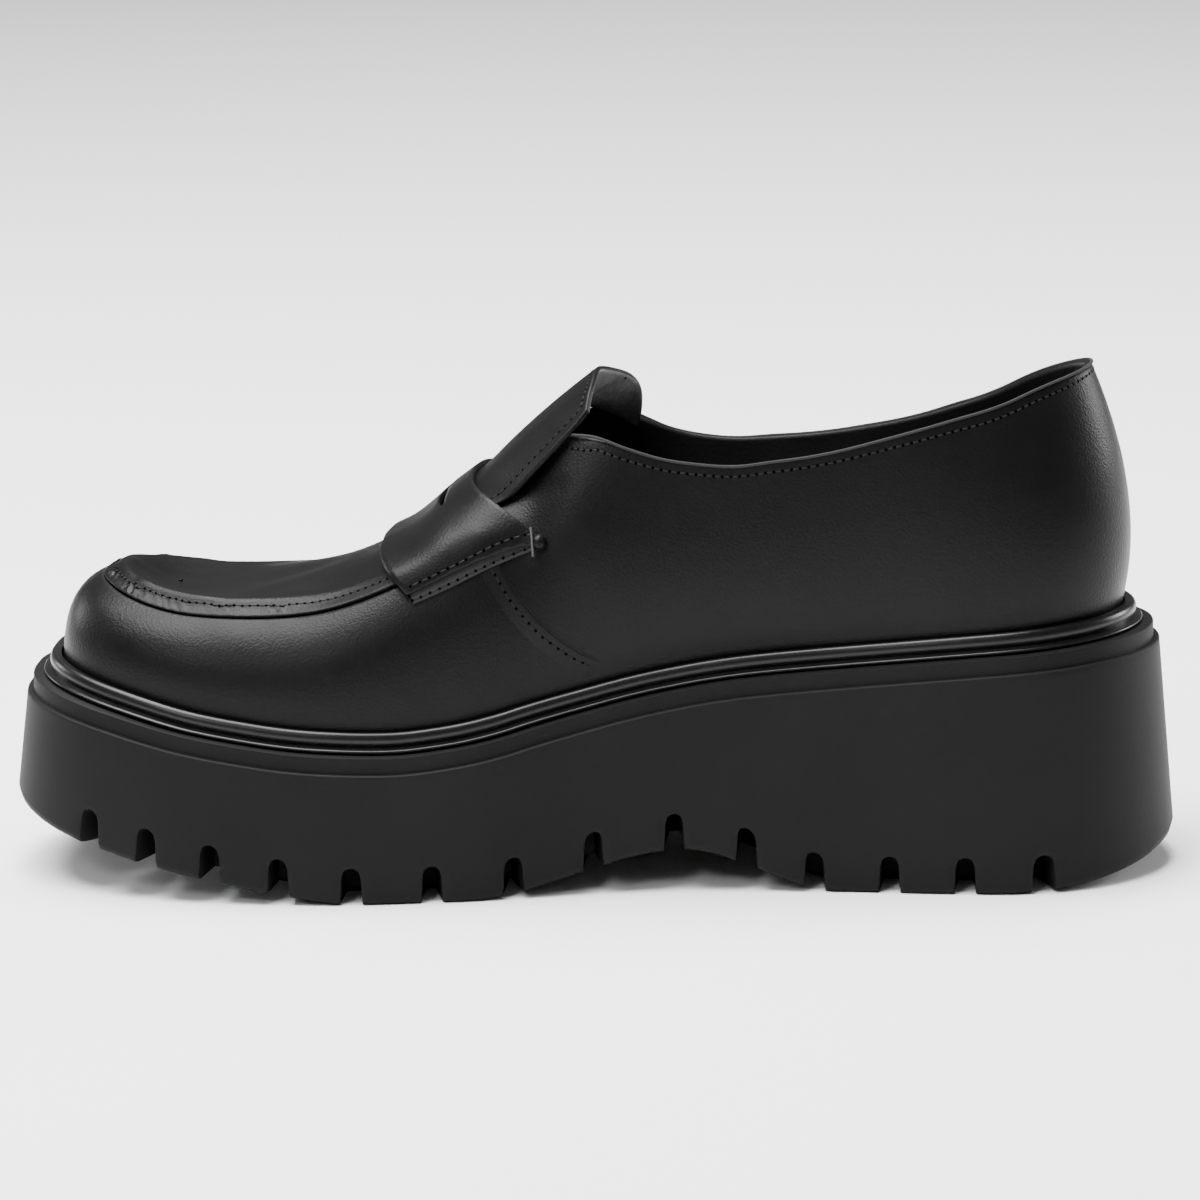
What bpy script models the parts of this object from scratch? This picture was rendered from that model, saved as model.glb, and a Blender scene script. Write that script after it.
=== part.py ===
"""Chunky lug sole loafer, right foot, standing empty on its sole.

The toe points along -X, the heel along +X, the inner (medial) side faces -Y and +Z is up.
The origin is on the floor, under the middle of the sole. Lengths are in metres.
"""

import math

import bmesh
import bpy
import numpy as np
from mathutils import Vector

MM = 0.001

# Sole: a moulded platform with a stepped rim, a flared wall and lugs along its edge
RIM_LENGTH = 275.3 * MM
BALL_HALF_WIDTH = 49.0 * MM
TOE_SHIFT = 4.0 * MM
HEEL_STACK = 59.3 * MM
BAND_HEIGHT = 4.0 * MM
STEP_OUT = 1.5 * MM
TOE_FLARE = 0.125
HEEL_FLARE = 0.087
SIDE_EDGE_RADIUS = 1.4 * MM
END_EDGE_RADIUS = 4.0 * MM
TOE_SPRING = 17.2 * MM
ARCH_RISE = 10.2 * MM
HEEL_SPRING = 5.8 * MM
LUG_DEPTH = 8.9 * MM
LUG_GAP = 4.3 * MM
LUG_REACH = 13.0 * MM
LUG_DRAFT = 0.06
CHANNEL_DEPTH = 3.0 * MM
CHANNEL_WIDTH = 4.0 * MM
CHANNEL_MARGIN = 22.0 * MM

# Gap kept between pieces that touch
GAP = 0.3 * MM

# Welt: a round bead on a thin flange that lies on the rim
FEATHER_INSET = 7.3 * MM
BEAD_HEIGHT = 5.1 * MM
BEAD_REACH = 3.1 * MM
FLANGE_REACH = 1.5 * MM
FLANGE_THICKNESS = 0.9 * MM

# Insole, inside the upper
INSOLE_THICKNESS = 3.6 * MM

# Upper
UPPER_WALL = 1.8 * MM
BACK_RISE = 58.5 * MM
TOE_FAN = 30.0 * MM
HEEL_FAN = 30.0 * MM
THROAT = 0.455
RIDGE_HEIGHT = 1.6 * MM
RIDGE_OFFSET = 6.0 * MM
RIDGE_WIDTH = 4.0 * MM
APRON_SINK = 4.2 * MM
SINK_RUN = 13.0 * MM
SEAT_RUN = 0.8 * MM
SEAT_LEVELS = 0.03

# Apron: the raised panel on top of the toe
APRON_THICKNESS = 1.2 * MM
APRON_END = 0.345

# Tongue: the flap that rises from under the strap
TONGUE_THICKNESS = 1.2 * MM
TONGUE_GAP = 0.45 * MM
TONGUE_START = 0.355
TONGUE_CLEAR = 0.008
TONGUE_FREE = 37.0 * MM
TONGUE_EDGE_LEVEL = 0.62

# Strap: the saddle across the instep
STRAP_THICKNESS = 1.6 * MM
STRAP_LIFT = 1.8 * MM
STRAP_FRONT = 0.250
STRAP_WIDTH = 0.118
STRAP_FRONT_SWEEP = 7.5 * MM
STRAP_REAR_SWEEP = 17.0 * MM
STRAP_END_LEVEL = 0.40
STRAP_SLOT_PLACE = 0.68
STRAP_SLOT_HALF_WIDTH = 0.055
STRAP_SLOT_HALF_LENGTH = 0.36

# How finely the shoe is faceted, as numbers of steps
COLUMNS_FRONT = 19
COLUMNS_BACK = 21
WALL_ROWS = 7
TOP_ROWS = 5

# Half widths of the rim, as shares of BALL_HALF_WIDTH, along the rim from toe (0) to heel (1)
# place, inner side, outer side
RIM_HALF_WIDTHS = (
    (0.00, 0.816, 0.816),
    (0.08, 0.860, 0.868),
    (0.16, 0.920, 0.958),
    (0.28, 0.970, 1.030),
    (0.38, 0.915, 1.040),
    (0.50, 0.765, 0.960),
    (0.60, 0.694, 0.860),
    (0.70, 0.686, 0.784),
    (0.85, 0.735, 0.735),
    (1.00, 0.735, 0.735),
)
TOE_ROUND_RUN = 0.20
TOE_ROUND_POWER = 2.6
HEEL_ROUND_RUN = 0.14
HEEL_ROUND_POWER = 2.0

# Height of the rim's top edge above the floor, as a share of HEEL_STACK
# place, height
RIM_HEIGHTS = (
    (0.00, 0.822),
    (0.08, 0.743),
    (0.17, 0.655),
    (0.26, 0.601),
    (0.33, 0.589),
    (0.40, 0.622),
    (0.47, 0.701),
    (0.55, 0.790),
    (0.63, 0.855),
    (0.72, 0.896),
    (0.86, 0.957),
    (1.00, 1.003),
)

# Places along the whole sole, from toe (0) to heel (1), where the tread lifts off the floor
BALL_FLAT_START = 0.300
BALL_FLAT_END = 0.400
ARCH_TOP = 0.580
HEEL_FLAT_START = 0.712
HEEL_FLAT_END = 0.850
TOE_SPRING_POWER = 1.25
HEEL_SPRING_POWER = 1.8

# The gaps between the lugs, along the whole sole from toe (0) to heel (1)
# place, reach inward as a share of LUG_REACH, whether a shallow channel crosses the tread there
LUG_GAPS = (
    (0.077, 1.0, False),
    (0.129, 1.0, False),
    (0.184, 1.0, True),
    (0.242, 1.0, True),
    (0.304, 1.0, True),
    (0.370, 1.0, True),
    (0.438, 1.0, True),
    (0.504, 1.0, False),
    (0.572, 2.2, False),
    (0.633, 2.2, False),
    (0.691, 1.0, True),
    (0.753, 1.0, True),
    (0.817, 1.0, True),
    (0.883, 1.0, False),
)

# Sections of the upper, along its foot from toe (0) to heel (1)
# place, reach of the top edge from the middle to the foot of the wall (0 where it closes over the
# top), rise of the top above the welt on the inner and outer side as shares of BACK_RISE, bulge of
# the lower wall as a share of BALL_HALF_WIDTH, its height as a share of the rise, the pull of the top
# edge outward on the inner and outer side as shares of the section's reach, and its pull downward as
# a share of the rise
UPPER_SECTIONS = (
    (0.000, 0.00, 0.368, 0.368, -0.010, 0.80, 0.80, 0.80, -0.08),
    (0.050, 0.00, 0.396, 0.396, 0.008, 0.74, 0.79, 0.78, -0.05),
    (0.100, 0.00, 0.430, 0.430, 0.045, 0.70, 0.78, 0.74, 0.00),
    (0.150, 0.00, 0.484, 0.484, 0.055, 0.66, 0.75, 0.68, 0.00),
    (0.200, 0.00, 0.565, 0.565, 0.060, 0.62, 0.72, 0.64, 0.00),
    (0.250, 0.00, 0.645, 0.645, 0.062, 0.60, 0.70, 0.52, 0.00),
    (0.300, 0.00, 0.760, 0.760, 0.062, 0.66, 0.67, 0.46, 0.00),
    (0.350, 0.00, 0.882, 0.882, 0.062, 0.71, 0.63, 0.45, 0.00),
    (0.400, 0.00, 0.975, 0.975, 0.070, 0.72, 0.61, 0.49, 0.00),
    (0.455, 0.00, 1.040, 1.036, 0.090, 0.66, 0.60, 0.58, 0.02),
    (0.470, 0.40, 1.043, 1.030, 0.095, 0.60, 0.42, 0.42, 0.05),
    (0.500, 0.76, 1.033, 1.007, 0.110, 0.50, 0.22, 0.22, 0.16),
    (0.535, 0.90, 0.952, 0.928, 0.120, 0.40, 0.14, 0.14, 0.28),
    (0.585, 1.00, 0.844, 0.790, 0.125, 0.34, 0.10, 0.10, 0.34),
    (0.635, 1.04, 0.794, 0.733, 0.115, 0.32, 0.09, 0.09, 0.35),
    (0.695, 1.03, 0.802, 0.730, 0.100, 0.31, 0.09, 0.09, 0.35),
    (0.740, 1.00, 0.831, 0.745, 0.090, 0.31, 0.10, 0.10, 0.35),
    (0.790, 0.94, 0.865, 0.770, 0.083, 0.31, 0.13, 0.13, 0.35),
    (0.835, 0.87, 0.892, 0.812, 0.082, 0.31, 0.17, 0.17, 0.35),
    (0.885, 0.80, 0.920, 0.858, 0.084, 0.31, 0.22, 0.22, 0.35),
    (0.940, 0.75, 0.970, 0.938, 0.088, 0.31, 0.27, 0.27, 0.35),
    (1.000, 0.72, 1.010, 1.010, 0.092, 0.31, 0.30, 0.30, 0.35),
)

# The apron's seam: place along the upper, and its reach from the middle to the foot of the wall
APRON_SEAM = (
    (0.00, 0.67),
    (0.06, 0.76),
    (0.12, 0.79),
    (0.17, 0.785),
    (0.22, 0.775),
    (0.28, 0.785),
    (0.35, 0.80),
    (0.45, 0.80),
)
# How much of the apron's ridge and of its sunken middle is left along the upper
# place, ridge, sink
APRON_FADE = (
    (0.00, 1.0, 1.00),
    (0.05, 1.0, 0.90),
    (0.10, 1.0, 0.55),
    (0.15, 0.8, 0.15),
    (0.20, 0.5, 0.00),
    (0.28, 0.0, 0.00),
    (1.00, 0.0, 0.00),
)

# The free part of the tongue, from the middle of its root, as shares of TONGUE_FREE. Each row bends
# from the root by a handle to the tip: way across from the inner edge (-1) to the outer edge (1),
# handle back, handle out, handle up, tip back, tip out, tip up
TONGUE_SHAPE = (
    (-1.0, 0.44, -0.61, 0.27, 0.68, -0.49, 0.49),
    (-0.5, 0.36, -0.35, 0.32, 0.73, -0.26, 0.61),
    (0.0, 0.34, 0.02, 0.37, 0.75, 0.04, 0.67),
    (0.5, 0.45, 0.46, 0.42, 1.00, 0.48, 0.51),
    (1.0, 0.44, 0.88, 0.60, 0.94, 0.86, 0.26),
)

# Looks of the plain model: name, colour and roughness
FINISHES = {
    "black_leather": ((0.018, 0.018, 0.018, 1.0), 0.45),
    "matte_rubber": ((0.022, 0.022, 0.022, 1.0), 0.75),
    "gloss_rubber": ((0.012, 0.012, 0.012, 1.0), 0.30),
    "lining_leather": ((0.020, 0.020, 0.021, 1.0), 0.60),
}


def smooth_step(value):
    """Eases from 0 to 1 as value goes from 0 to 1."""
    value = min(max(value, 0.0), 1.0)
    return value * value * (3 - 2 * value)


def through(rows, column):
    """A smooth curve through one column of a table, without overshoot, against the first column."""
    xs = [row[0] for row in rows]
    ys = [row[column] for row in rows]
    steps = [xs[i + 1] - xs[i] for i in range(len(xs) - 1)]
    rises = [(ys[i + 1] - ys[i]) / steps[i] for i in range(len(steps))]
    slopes = [rises[0]]
    for i in range(1, len(rises)):
        same_way = rises[i - 1] * rises[i] > 0
        slopes.append(2 * rises[i - 1] * rises[i] / (rises[i - 1] + rises[i]) if same_way else 0.0)
    slopes.append(rises[-1])

    def value(x):
        x = min(max(x, xs[0]), xs[-1])
        i = min(max(int(np.searchsorted(xs, x)) - 1, 0), len(steps) - 1)
        step = steps[i]
        u = (x - xs[i]) / step
        return (
            ys[i] * (1 + 2 * u) * (1 - u) ** 2
            + slopes[i] * step * u * (1 - u) ** 2
            + ys[i + 1] * u * u * (3 - 2 * u)
            - slopes[i + 1] * step * u * u * (1 - u)
        )

    return value


rim_inner = through(RIM_HALF_WIDTHS, 1)
rim_outer = through(RIM_HALF_WIDTHS, 2)
rim_rise = through(RIM_HEIGHTS, 1)
top_reach = through(UPPER_SECTIONS, 1)
top_rise_inner = through(UPPER_SECTIONS, 2)
top_rise_outer = through(UPPER_SECTIONS, 3)
bulge_out = through(UPPER_SECTIONS, 4)
bulge_up = through(UPPER_SECTIONS, 5)
top_pull_inner = through(UPPER_SECTIONS, 6)
top_pull_outer = through(UPPER_SECTIONS, 7)
top_drop = through(UPPER_SECTIONS, 8)
seam_reach = through(APRON_SEAM, 1)
ridge_fade = through(APRON_FADE, 1)
sink_fade = through(APRON_FADE, 2)
tongue_curves = [through(TONGUE_SHAPE, column) for column in range(1, 7)]


def end_round(share_from_end, run, power):
    """The factor that closes an outline to a round end over a run."""
    if share_from_end >= run:
        return 1.0
    inside = 1 - (1 - max(share_from_end, 0.0) / run) ** power
    return max(inside, 0.0) ** (1 / power)


def axis_y(place):
    """The middle line of the shoe, which swings to the inner side at the toe."""
    return -TOE_SHIFT * (1 - place) ** 2


def rim_at(turn):
    """A point of the rim's outline. The turn is 0 at the toe, pi at the heel, first by the inner side."""
    inner = math.sin(turn) >= 0
    place = (1 - math.cos(turn)) / 2
    half = (rim_inner if inner else rim_outer)(place) * BALL_HALF_WIDTH
    half *= end_round(place, TOE_ROUND_RUN, TOE_ROUND_POWER)
    half *= end_round(1 - place, HEEL_ROUND_RUN, HEEL_ROUND_POWER)
    return Vector(((place - 0.5) * RIM_LENGTH, axis_y(place) + (-half if inner else half)))


def rim_outward(turn):
    """The outward direction of the rim's outline at a turn, in plan."""
    small = 0.01
    along = rim_at(turn + small) - rim_at(turn - small)
    return Vector((along.y, -along.x)).normalized()


def outline(turn, out):
    """The rim's outline moved outward by a distance, in plan."""
    return rim_at(turn) + rim_outward(turn) * out


def rim_height(x):
    """The height of the rim's top edge over the floor."""
    return HEEL_STACK * rim_rise(x / RIM_LENGTH + 0.5)


def flare(x):
    """How much the sole's wall spreads for each unit that it drops."""
    place = min(max(x / RIM_LENGTH + 0.5, 0.0), 1.0)
    return TOE_FLARE + (HEEL_FLARE - TOE_FLARE) * place


def wall_spread(x, foot):
    """How far the sole's wall stands outside the rim at its foot."""
    return STEP_OUT + flare(x) * (rim_height(x) - BAND_HEIGHT - foot)


SOLE_FRONT = -RIM_LENGTH / 2 - wall_spread(-RIM_LENGTH / 2, TOE_SPRING + END_EDGE_RADIUS)
SOLE_BACK = RIM_LENGTH / 2 + wall_spread(RIM_LENGTH / 2, HEEL_SPRING + END_EDGE_RADIUS)
SOLE_LENGTH = SOLE_BACK - SOLE_FRONT


def sole_place(x):
    """Where x lies along the whole sole, from toe (0) to heel (1)."""
    return (x - SOLE_FRONT) / SOLE_LENGTH


def sole_x(place):
    """The x of a place along the whole sole."""
    return SOLE_FRONT + place * SOLE_LENGTH


def tread_height(x):
    """The height of the tread over the floor: toe spring, ball, arch, heel and heel spring."""
    place = sole_place(x)
    if place < BALL_FLAT_START:
        return TOE_SPRING * (1 - max(place, 0.0) / BALL_FLAT_START) ** TOE_SPRING_POWER
    if place < ARCH_TOP:
        return ARCH_RISE * smooth_step((place - BALL_FLAT_END) / (ARCH_TOP - BALL_FLAT_END))
    if place < HEEL_FLAT_END:
        return ARCH_RISE * smooth_step((HEEL_FLAT_START - place) / (HEEL_FLAT_START - ARCH_TOP))
    lift = (min(place, 1.0) - HEEL_FLAT_END) / (1 - HEEL_FLAT_END)
    return HEEL_SPRING * lift**HEEL_SPRING_POWER


def spaced_turns():
    """Turns of the inner side's columns, even along the outline, with one exactly at the throat."""
    throat_turn = math.acos(1 - 2 * THROAT)
    turns = []
    for start, stop, count in ((0.0, throat_turn, COLUMNS_FRONT), (throat_turn, math.pi, COLUMNS_BACK)):
        fine = np.linspace(start, stop, 400)
        points = np.array([rim_at(turn)[:] for turn in fine])
        run = np.concatenate(([0.0], np.cumsum(np.linalg.norm(np.diff(points, axis=0), axis=1))))
        even = np.interp(np.linspace(0.0, run[-1], count + 1), run, fine)
        turns += [float(turn) for turn in even[:-1]]
    return turns + [math.pi]


INNER_TURNS = spaced_turns()
LAST = len(INNER_TURNS) - 1
TURNS = INNER_TURNS + [2 * math.pi - turn for turn in INNER_TURNS[LAST - 1 : 0 : -1]]
COUNT = len(TURNS)


def upper_place(turn):
    """Where a turn lies along the foot of the upper, from toe (0) to heel (1)."""
    return (1 - math.cos(turn)) / 2


UPPER_TOE_X = -RIM_LENGTH / 2 + FEATHER_INSET
UPPER_HEEL_X = RIM_LENGTH / 2 - FEATHER_INSET


def spine_x(place):
    """The x of the middle line that a column of the upper closes on."""
    start = UPPER_TOE_X + TOE_FAN
    return start + place * (UPPER_HEEL_X - HEEL_FAN - start)


def top_height(place, inner):
    """The height of the upper's top over the floor, at a place along the upper."""
    rise = (top_rise_inner if inner else top_rise_outer)(place) * BACK_RISE
    return rim_height(UPPER_TOE_X + place * (UPPER_HEEL_X - UPPER_TOE_X)) + BEAD_HEIGHT + rise


def top_slope_drop(place, spot_x, inner):
    """How far the top falls from a place to a spot nearer the toe. It keeps the instep round across."""
    spot_place = (spot_x - spine_x(0.0)) / (spine_x(1.0) - spine_x(0.0))
    spot_place = min(max(spot_place, 0.0), place)
    return max(top_height(place, inner) - top_height(spot_place, inner), 0.0)


def upper_column(turn):
    """The four points that shape the wall of the upper at a turn, from the welt to the top."""
    place = upper_place(turn)
    inner = math.sin(turn) >= 0
    foot = outline(turn, -FEATHER_INSET)
    middle = Vector((spine_x(place), axis_y(place)))
    reach = foot - middle
    side = reach.normalized()
    foot_z = rim_height(foot.x) + BEAD_HEIGHT
    top = middle + reach * top_reach(place)
    top_z = top_height(place, inner)
    height = top_z - foot_z
    bulge = foot + side * bulge_out(place) * BALL_HALF_WIDTH
    pull = top + side * (top_pull_inner if inner else top_pull_outer)(place) * reach.length
    pull_z = top_z - top_drop(place) * height
    if place <= THROAT:
        pull_z -= top_slope_drop(place, pull.x, inner)
    return (
        Vector((foot.x, foot.y, foot_z)),
        Vector((bulge.x, bulge.y, foot_z + bulge_up(place) * height)),
        Vector((pull.x, pull.y, pull_z)),
        Vector((top.x, top.y, top_z)),
        reach.length,
    )


def upper_point(turn, level, seated=True):
    """A point of the upper's outer face. The level is 0 at the welt and 1 at the top.

    The top of the toe is stepped down inside the seam, and the apron is seated on it.
    """
    foot, bulge, pull, top, reach = upper_column(turn)
    rest = 1 - level
    point = foot * rest**3 + bulge * (3 * rest * rest * level) + pull * (3 * rest * level * level) + top * level**3
    place = upper_place(turn)
    middle = Vector((spine_x(place), axis_y(place)))
    inside = seam_reach(place) * reach - (Vector(point[:2]) - middle).length
    if inside > 0 and place <= THROAT:
        hump = math.exp(-(((inside - RIDGE_OFFSET) / RIDGE_WIDTH) ** 2))
        point.z += RIDGE_HEIGHT * ridge_fade(place) * hump * smooth_step(inside / RIDGE_OFFSET)
        point.z -= APRON_SINK * sink_fade(place) * smooth_step((inside - RIDGE_OFFSET) / SINK_RUN)
        if seated and place <= APRON_END:
            point.z -= (APRON_THICKNESS + GAP) * smooth_step(inside / SEAT_RUN)
    return point


def upper_normal(turn, level):
    """The outward direction of the upper's outer face."""
    small = 0.01
    place = upper_place(turn)
    if level > 0.999 and place <= THROAT:
        before = turn_of(max(place - small, 0.0), turn <= math.pi)
        after = turn_of(place + small, turn <= math.pi)
        ahead = upper_point(after, 1.0, seated=False) - upper_point(before, 1.0, seated=False)
        return Vector((-ahead.z, 0.0, ahead.x)).normalized()
    along = upper_point(turn + small, level, seated=False) - upper_point(turn - small, level, seated=False)
    low = max(level - small, 0.0)
    high = min(low + 2 * small, 1.0)
    up = upper_point(turn, high, seated=False) - upper_point(turn, low, seated=False)
    return along.cross(up).normalized()


def upper_skin(turn, level, out, seated=False):
    """A point at a distance outside the upper's outer face."""
    return upper_point(turn, level, seated) + upper_normal(turn, level) * out


def seam_level(turn):
    """The level of the apron's seam at a turn."""
    place = upper_place(turn)
    reach = upper_column(turn)[4]
    middle = Vector((spine_x(place), axis_y(place)))
    low, high = 0.2, 1.0
    for _ in range(30):
        level = (low + high) / 2
        point = upper_point(turn, level)
        if (Vector(point[:2]) - middle).length > seam_reach(place) * reach:
            low = level
        else:
            high = level
    return (low + high) / 2


def row_levels(turn):
    """Levels of a column's points: up the wall to the apron's seam, into its seat and over the top."""
    seam = seam_level(turn) if upper_place(turn) <= THROAT + 1e-6 else 0.6
    seat = seam + SEAT_LEVELS
    levels = [seam * i / WALL_ROWS for i in range(WALL_ROWS + 1)]
    levels += [seat + (1 - seat) * i / TOP_ROWS for i in range(TOP_ROWS + 1)]
    return levels


def turn_of(place, inner):
    """The turn at a place along the upper, on the inner or outer side."""
    turn = math.acos(1 - 2 * min(max(place, 0.0), 1.0))
    return turn if inner else 2 * math.pi - turn


def sole_middle():
    """The plan middle of the sole at the foot of its wall."""
    points = [wall_foot(turn) for turn in TURNS]
    xs = [point.x for point in points]
    ys = [point.y for point in points]
    return Vector(((min(xs) + max(xs)) / 2, (min(ys) + max(ys)) / 2, 0.0))


def edge_radius(turn):
    """The radius of the tread's outer edge, larger at the toe and heel."""
    across = rim_outward(turn).x
    return SIDE_EDGE_RADIUS + (END_EDGE_RADIUS - SIDE_EDGE_RADIUS) * across**4


def wall_foot(turn):
    """The point where the sole's wall starts to round under."""
    edge = edge_radius(turn)
    point = rim_at(turn)
    for _ in range(3):
        foot_z = tread_height(point.x) + edge
        point = outline(turn, wall_spread(point.x, foot_z))
    return Vector((point.x, point.y, tread_height(point.x) + edge))


def new_mesh_object(name, points, faces, finish):
    """An object from points and faces, moved so that the origin is under the sole's middle."""
    mesh = bpy.data.meshes.new(name)
    mesh.from_pydata([tuple(point - MIDDLE) for point in points], [], faces)
    mesh.update()
    thing = bpy.data.objects.new(name, mesh)
    collection.objects.link(thing)
    thing.data.materials.append(finishes[finish])
    return thing


def smooth_shaded(thing, angle):
    """Shades an object smooth except at edges sharper than an angle in degrees."""
    thing.data.shade_smooth()
    thing.data.set_sharp_from_angle(angle=math.radians(angle))


def band_faces(lower, upper_row):
    """Faces between two closed rows of points that have the same count."""
    count = len(lower)
    return [(lower[i], lower[(i + 1) % count], upper_row[(i + 1) % count], upper_row[i]) for i in range(count)]


def ladder_faces(row, upward):
    """Faces that close a row around the shoe, from the inner side to the outer side."""
    faces = [(row[0], row[1], row[COUNT - 1])]
    faces += [(row[i], row[i + 1], row[COUNT - i - 1], row[COUNT - i]) for i in range(1, LAST - 1)]
    faces.append((row[LAST - 1], row[LAST], row[LAST + 1]))
    return faces if upward else [tuple(reversed(face)) for face in faces]


def stacked_rings(rings):
    """Points and rows of rings that are stacked into one closed body."""
    points = [point for ring in rings for point in ring]
    rows = [list(range(i * COUNT, (i + 1) * COUNT)) for i in range(len(rings))]
    faces = []
    for below, above in zip(rows, rows[1:]):
        faces += band_faces(below, above)
    return points, rows, faces


def sole_rings():
    """Rings of the sole from the tread's edge up to the rim's top edge."""
    rings = []
    for angle in (90.0, 45.0, 0.0):
        ring = []
        for turn in TURNS:
            edge = edge_radius(turn)
            foot = wall_foot(turn)
            inward = rim_outward(turn) * edge * (1 - math.cos(math.radians(angle)))
            down = edge * math.sin(math.radians(angle))
            ring.append(Vector((foot.x - inward.x, foot.y - inward.y, foot.z - down)))
        rings.append(ring)
    for out, drop in ((STEP_OUT, BAND_HEIGHT), (0.0, BAND_HEIGHT), (0.0, 0.0)):
        ring = []
        for turn in TURNS:
            point = outline(turn, out)
            ring.append(Vector((point.x, point.y, rim_height(rim_at(turn).x) - drop)))
        rings.append(ring)
    return rings


def lug_cutter(place, reach_share, inner):
    """A wedge across the tread's edge, wider at the floor, whose roof follows the tread."""
    x = sole_x(place)
    turn = turn_of(place, inner)
    for _ in range(20):
        turn = turn_of(upper_place(turn) + (x - wall_foot(turn).x) / RIM_LENGTH, inner)
    foot = wall_foot(turn)
    outward = rim_outward(turn)
    outward = Vector((outward.x, outward.y, 0.0))
    along = Vector((-outward.y, outward.x, 0.0))
    floor = tread_height(foot.x)
    slope = (tread_height(foot.x + LUG_GAP) - tread_height(foot.x - LUG_GAP)) / (2 * LUG_GAP)
    corners = []
    for out in (-LUG_REACH * reach_share, LUG_REACH):
        for height, half in ((-LUG_DEPTH, LUG_GAP / 2 + 2 * LUG_DEPTH * LUG_DRAFT), (LUG_DEPTH, LUG_GAP / 2)):
            for way in (-1, 1):
                point = foot + outward * out + along * (way * half)
                point.z = floor + height + slope * (way * half * along.x + out * outward.x)
                corners.append(point)
    return corners


def box_faces():
    """Faces of a box whose corners run by out, height and way."""
    return [(0, 1, 3, 2), (4, 6, 7, 5), (0, 4, 5, 1), (2, 3, 7, 6), (0, 2, 6, 4), (1, 5, 7, 3)]


def channel_cutter(place):
    """A shallow channel across the middle of the tread."""
    x = sole_x(place)
    turns = (turn_of(place, True), turn_of(place, False))
    inner_y = wall_foot(turns[0]).y + CHANNEL_MARGIN
    outer_y = wall_foot(turns[1]).y - CHANNEL_MARGIN
    corners = []
    for y in (inner_y, outer_y):
        for height in (-CHANNEL_DEPTH, CHANNEL_DEPTH):
            for way in (-1, 1):
                edge_x = x + way * CHANNEL_WIDTH / 2
                corners.append(Vector((edge_x, y, tread_height(edge_x) + height)))
    return corners


def cutter_object(name, blocks):
    """One object that holds the boxes which are cut from another piece."""
    points, faces = [], []
    for corners in blocks:
        start = len(points)
        points += corners
        faces += [tuple(start + i for i in face) for face in box_faces()]
    mesh = bpy.data.meshes.new(name)
    mesh.from_pydata([tuple(point - MIDDLE) for point in points], [], faces)
    shape = bmesh.new()
    shape.from_mesh(mesh)
    bmesh.ops.recalc_face_normals(shape, faces=shape.faces)
    shape.to_mesh(mesh)
    shape.free()
    thing = bpy.data.objects.new(name, mesh)
    cutters.objects.link(thing)
    thing.hide_render = True
    thing.display_type = "WIRE"
    return thing


def make_sole():
    """The moulded lug sole."""
    points, rows, faces = stacked_rings(sole_rings())
    faces += ladder_faces(rows[0], upward=False)
    faces += ladder_faces(rows[-1], upward=True)
    sole = new_mesh_object("lug_sole", points, faces, "matte_rubber")
    blocks = [lug_cutter(place, reach, inner) for inner in (True, False) for place, reach, _ in LUG_GAPS]
    blocks += [channel_cutter(place) for place, _, channel in LUG_GAPS if channel]
    cut = sole.modifiers.new("lugs", "BOOLEAN")
    cut.operation = "DIFFERENCE"
    cut.solver = "EXACT"
    cut.object = cutter_object("lug_gaps", blocks)
    return sole


def make_welt():
    """The glossy bead with its thin flange, all round the foot of the upper."""
    inner = -FEATHER_INSET + GAP
    outer = -FEATHER_INSET + BEAD_REACH
    half = (outer - inner) / 2
    shape = [(inner, GAP), (outer + FLANGE_REACH, GAP), (outer + FLANGE_REACH, GAP + FLANGE_THICKNESS)]
    low = GAP + FLANGE_THICKNESS
    for angle in (-50, -15, 20, 55, 90):
        bow = math.radians(angle)
        lift = (BEAD_HEIGHT - low) / 2
        shape.append((inner + half + half * math.cos(bow), low + lift + lift * math.sin(bow)))
    shape.append((inner, BEAD_HEIGHT - GAP))
    points = []
    for out, height in shape:
        for turn in TURNS:
            point = outline(turn, out)
            points.append(Vector((point.x, point.y, rim_height(rim_at(turn).x) + height)))
    rows = [list(range(i * COUNT, (i + 1) * COUNT)) for i in range(len(shape))]
    faces = []
    for i in range(len(rows)):
        faces += band_faces(rows[i], rows[(i + 1) % len(rows)])
    welt = new_mesh_object("welt", points, faces, "gloss_rubber")
    smooth_shaded(welt, 40)
    return welt


def make_insole():
    """The footbed, which lies inside the foot of the upper."""
    out = -FEATHER_INSET - UPPER_WALL - GAP
    rings = []
    for inset, height in ((0.0, 0.0), (0.0, 0.7), (0.35, 1.0)):
        ring = []
        for turn in TURNS:
            point = outline(turn, out - inset * INSOLE_THICKNESS)
            lift = GAP + height * INSOLE_THICKNESS
            ring.append(Vector((point.x, point.y, rim_height(rim_at(turn).x) + lift)))
        rings.append(ring)
    points, rows, faces = stacked_rings(rings)
    faces += ladder_faces(rows[0], upward=False)
    faces += ladder_faces(rows[-1], upward=True)
    return new_mesh_object("insole", points, faces, "lining_leather")


def mesh_rows(columns, closed):
    """Faces between neighbouring columns of points, skipping sides that share a point."""
    faces = []
    pairs = list(zip(columns, columns[1:]))
    if closed:
        pairs.append((columns[-1], columns[0]))
    for left, right in pairs:
        for j in range(len(left) - 1):
            corners = [left[j], right[j], right[j + 1], left[j + 1]]
            kept = [corner for i, corner in enumerate(corners) if corner not in corners[:i]]
            if len(kept) > 2:
                faces.append(tuple(kept))
    return faces


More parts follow.
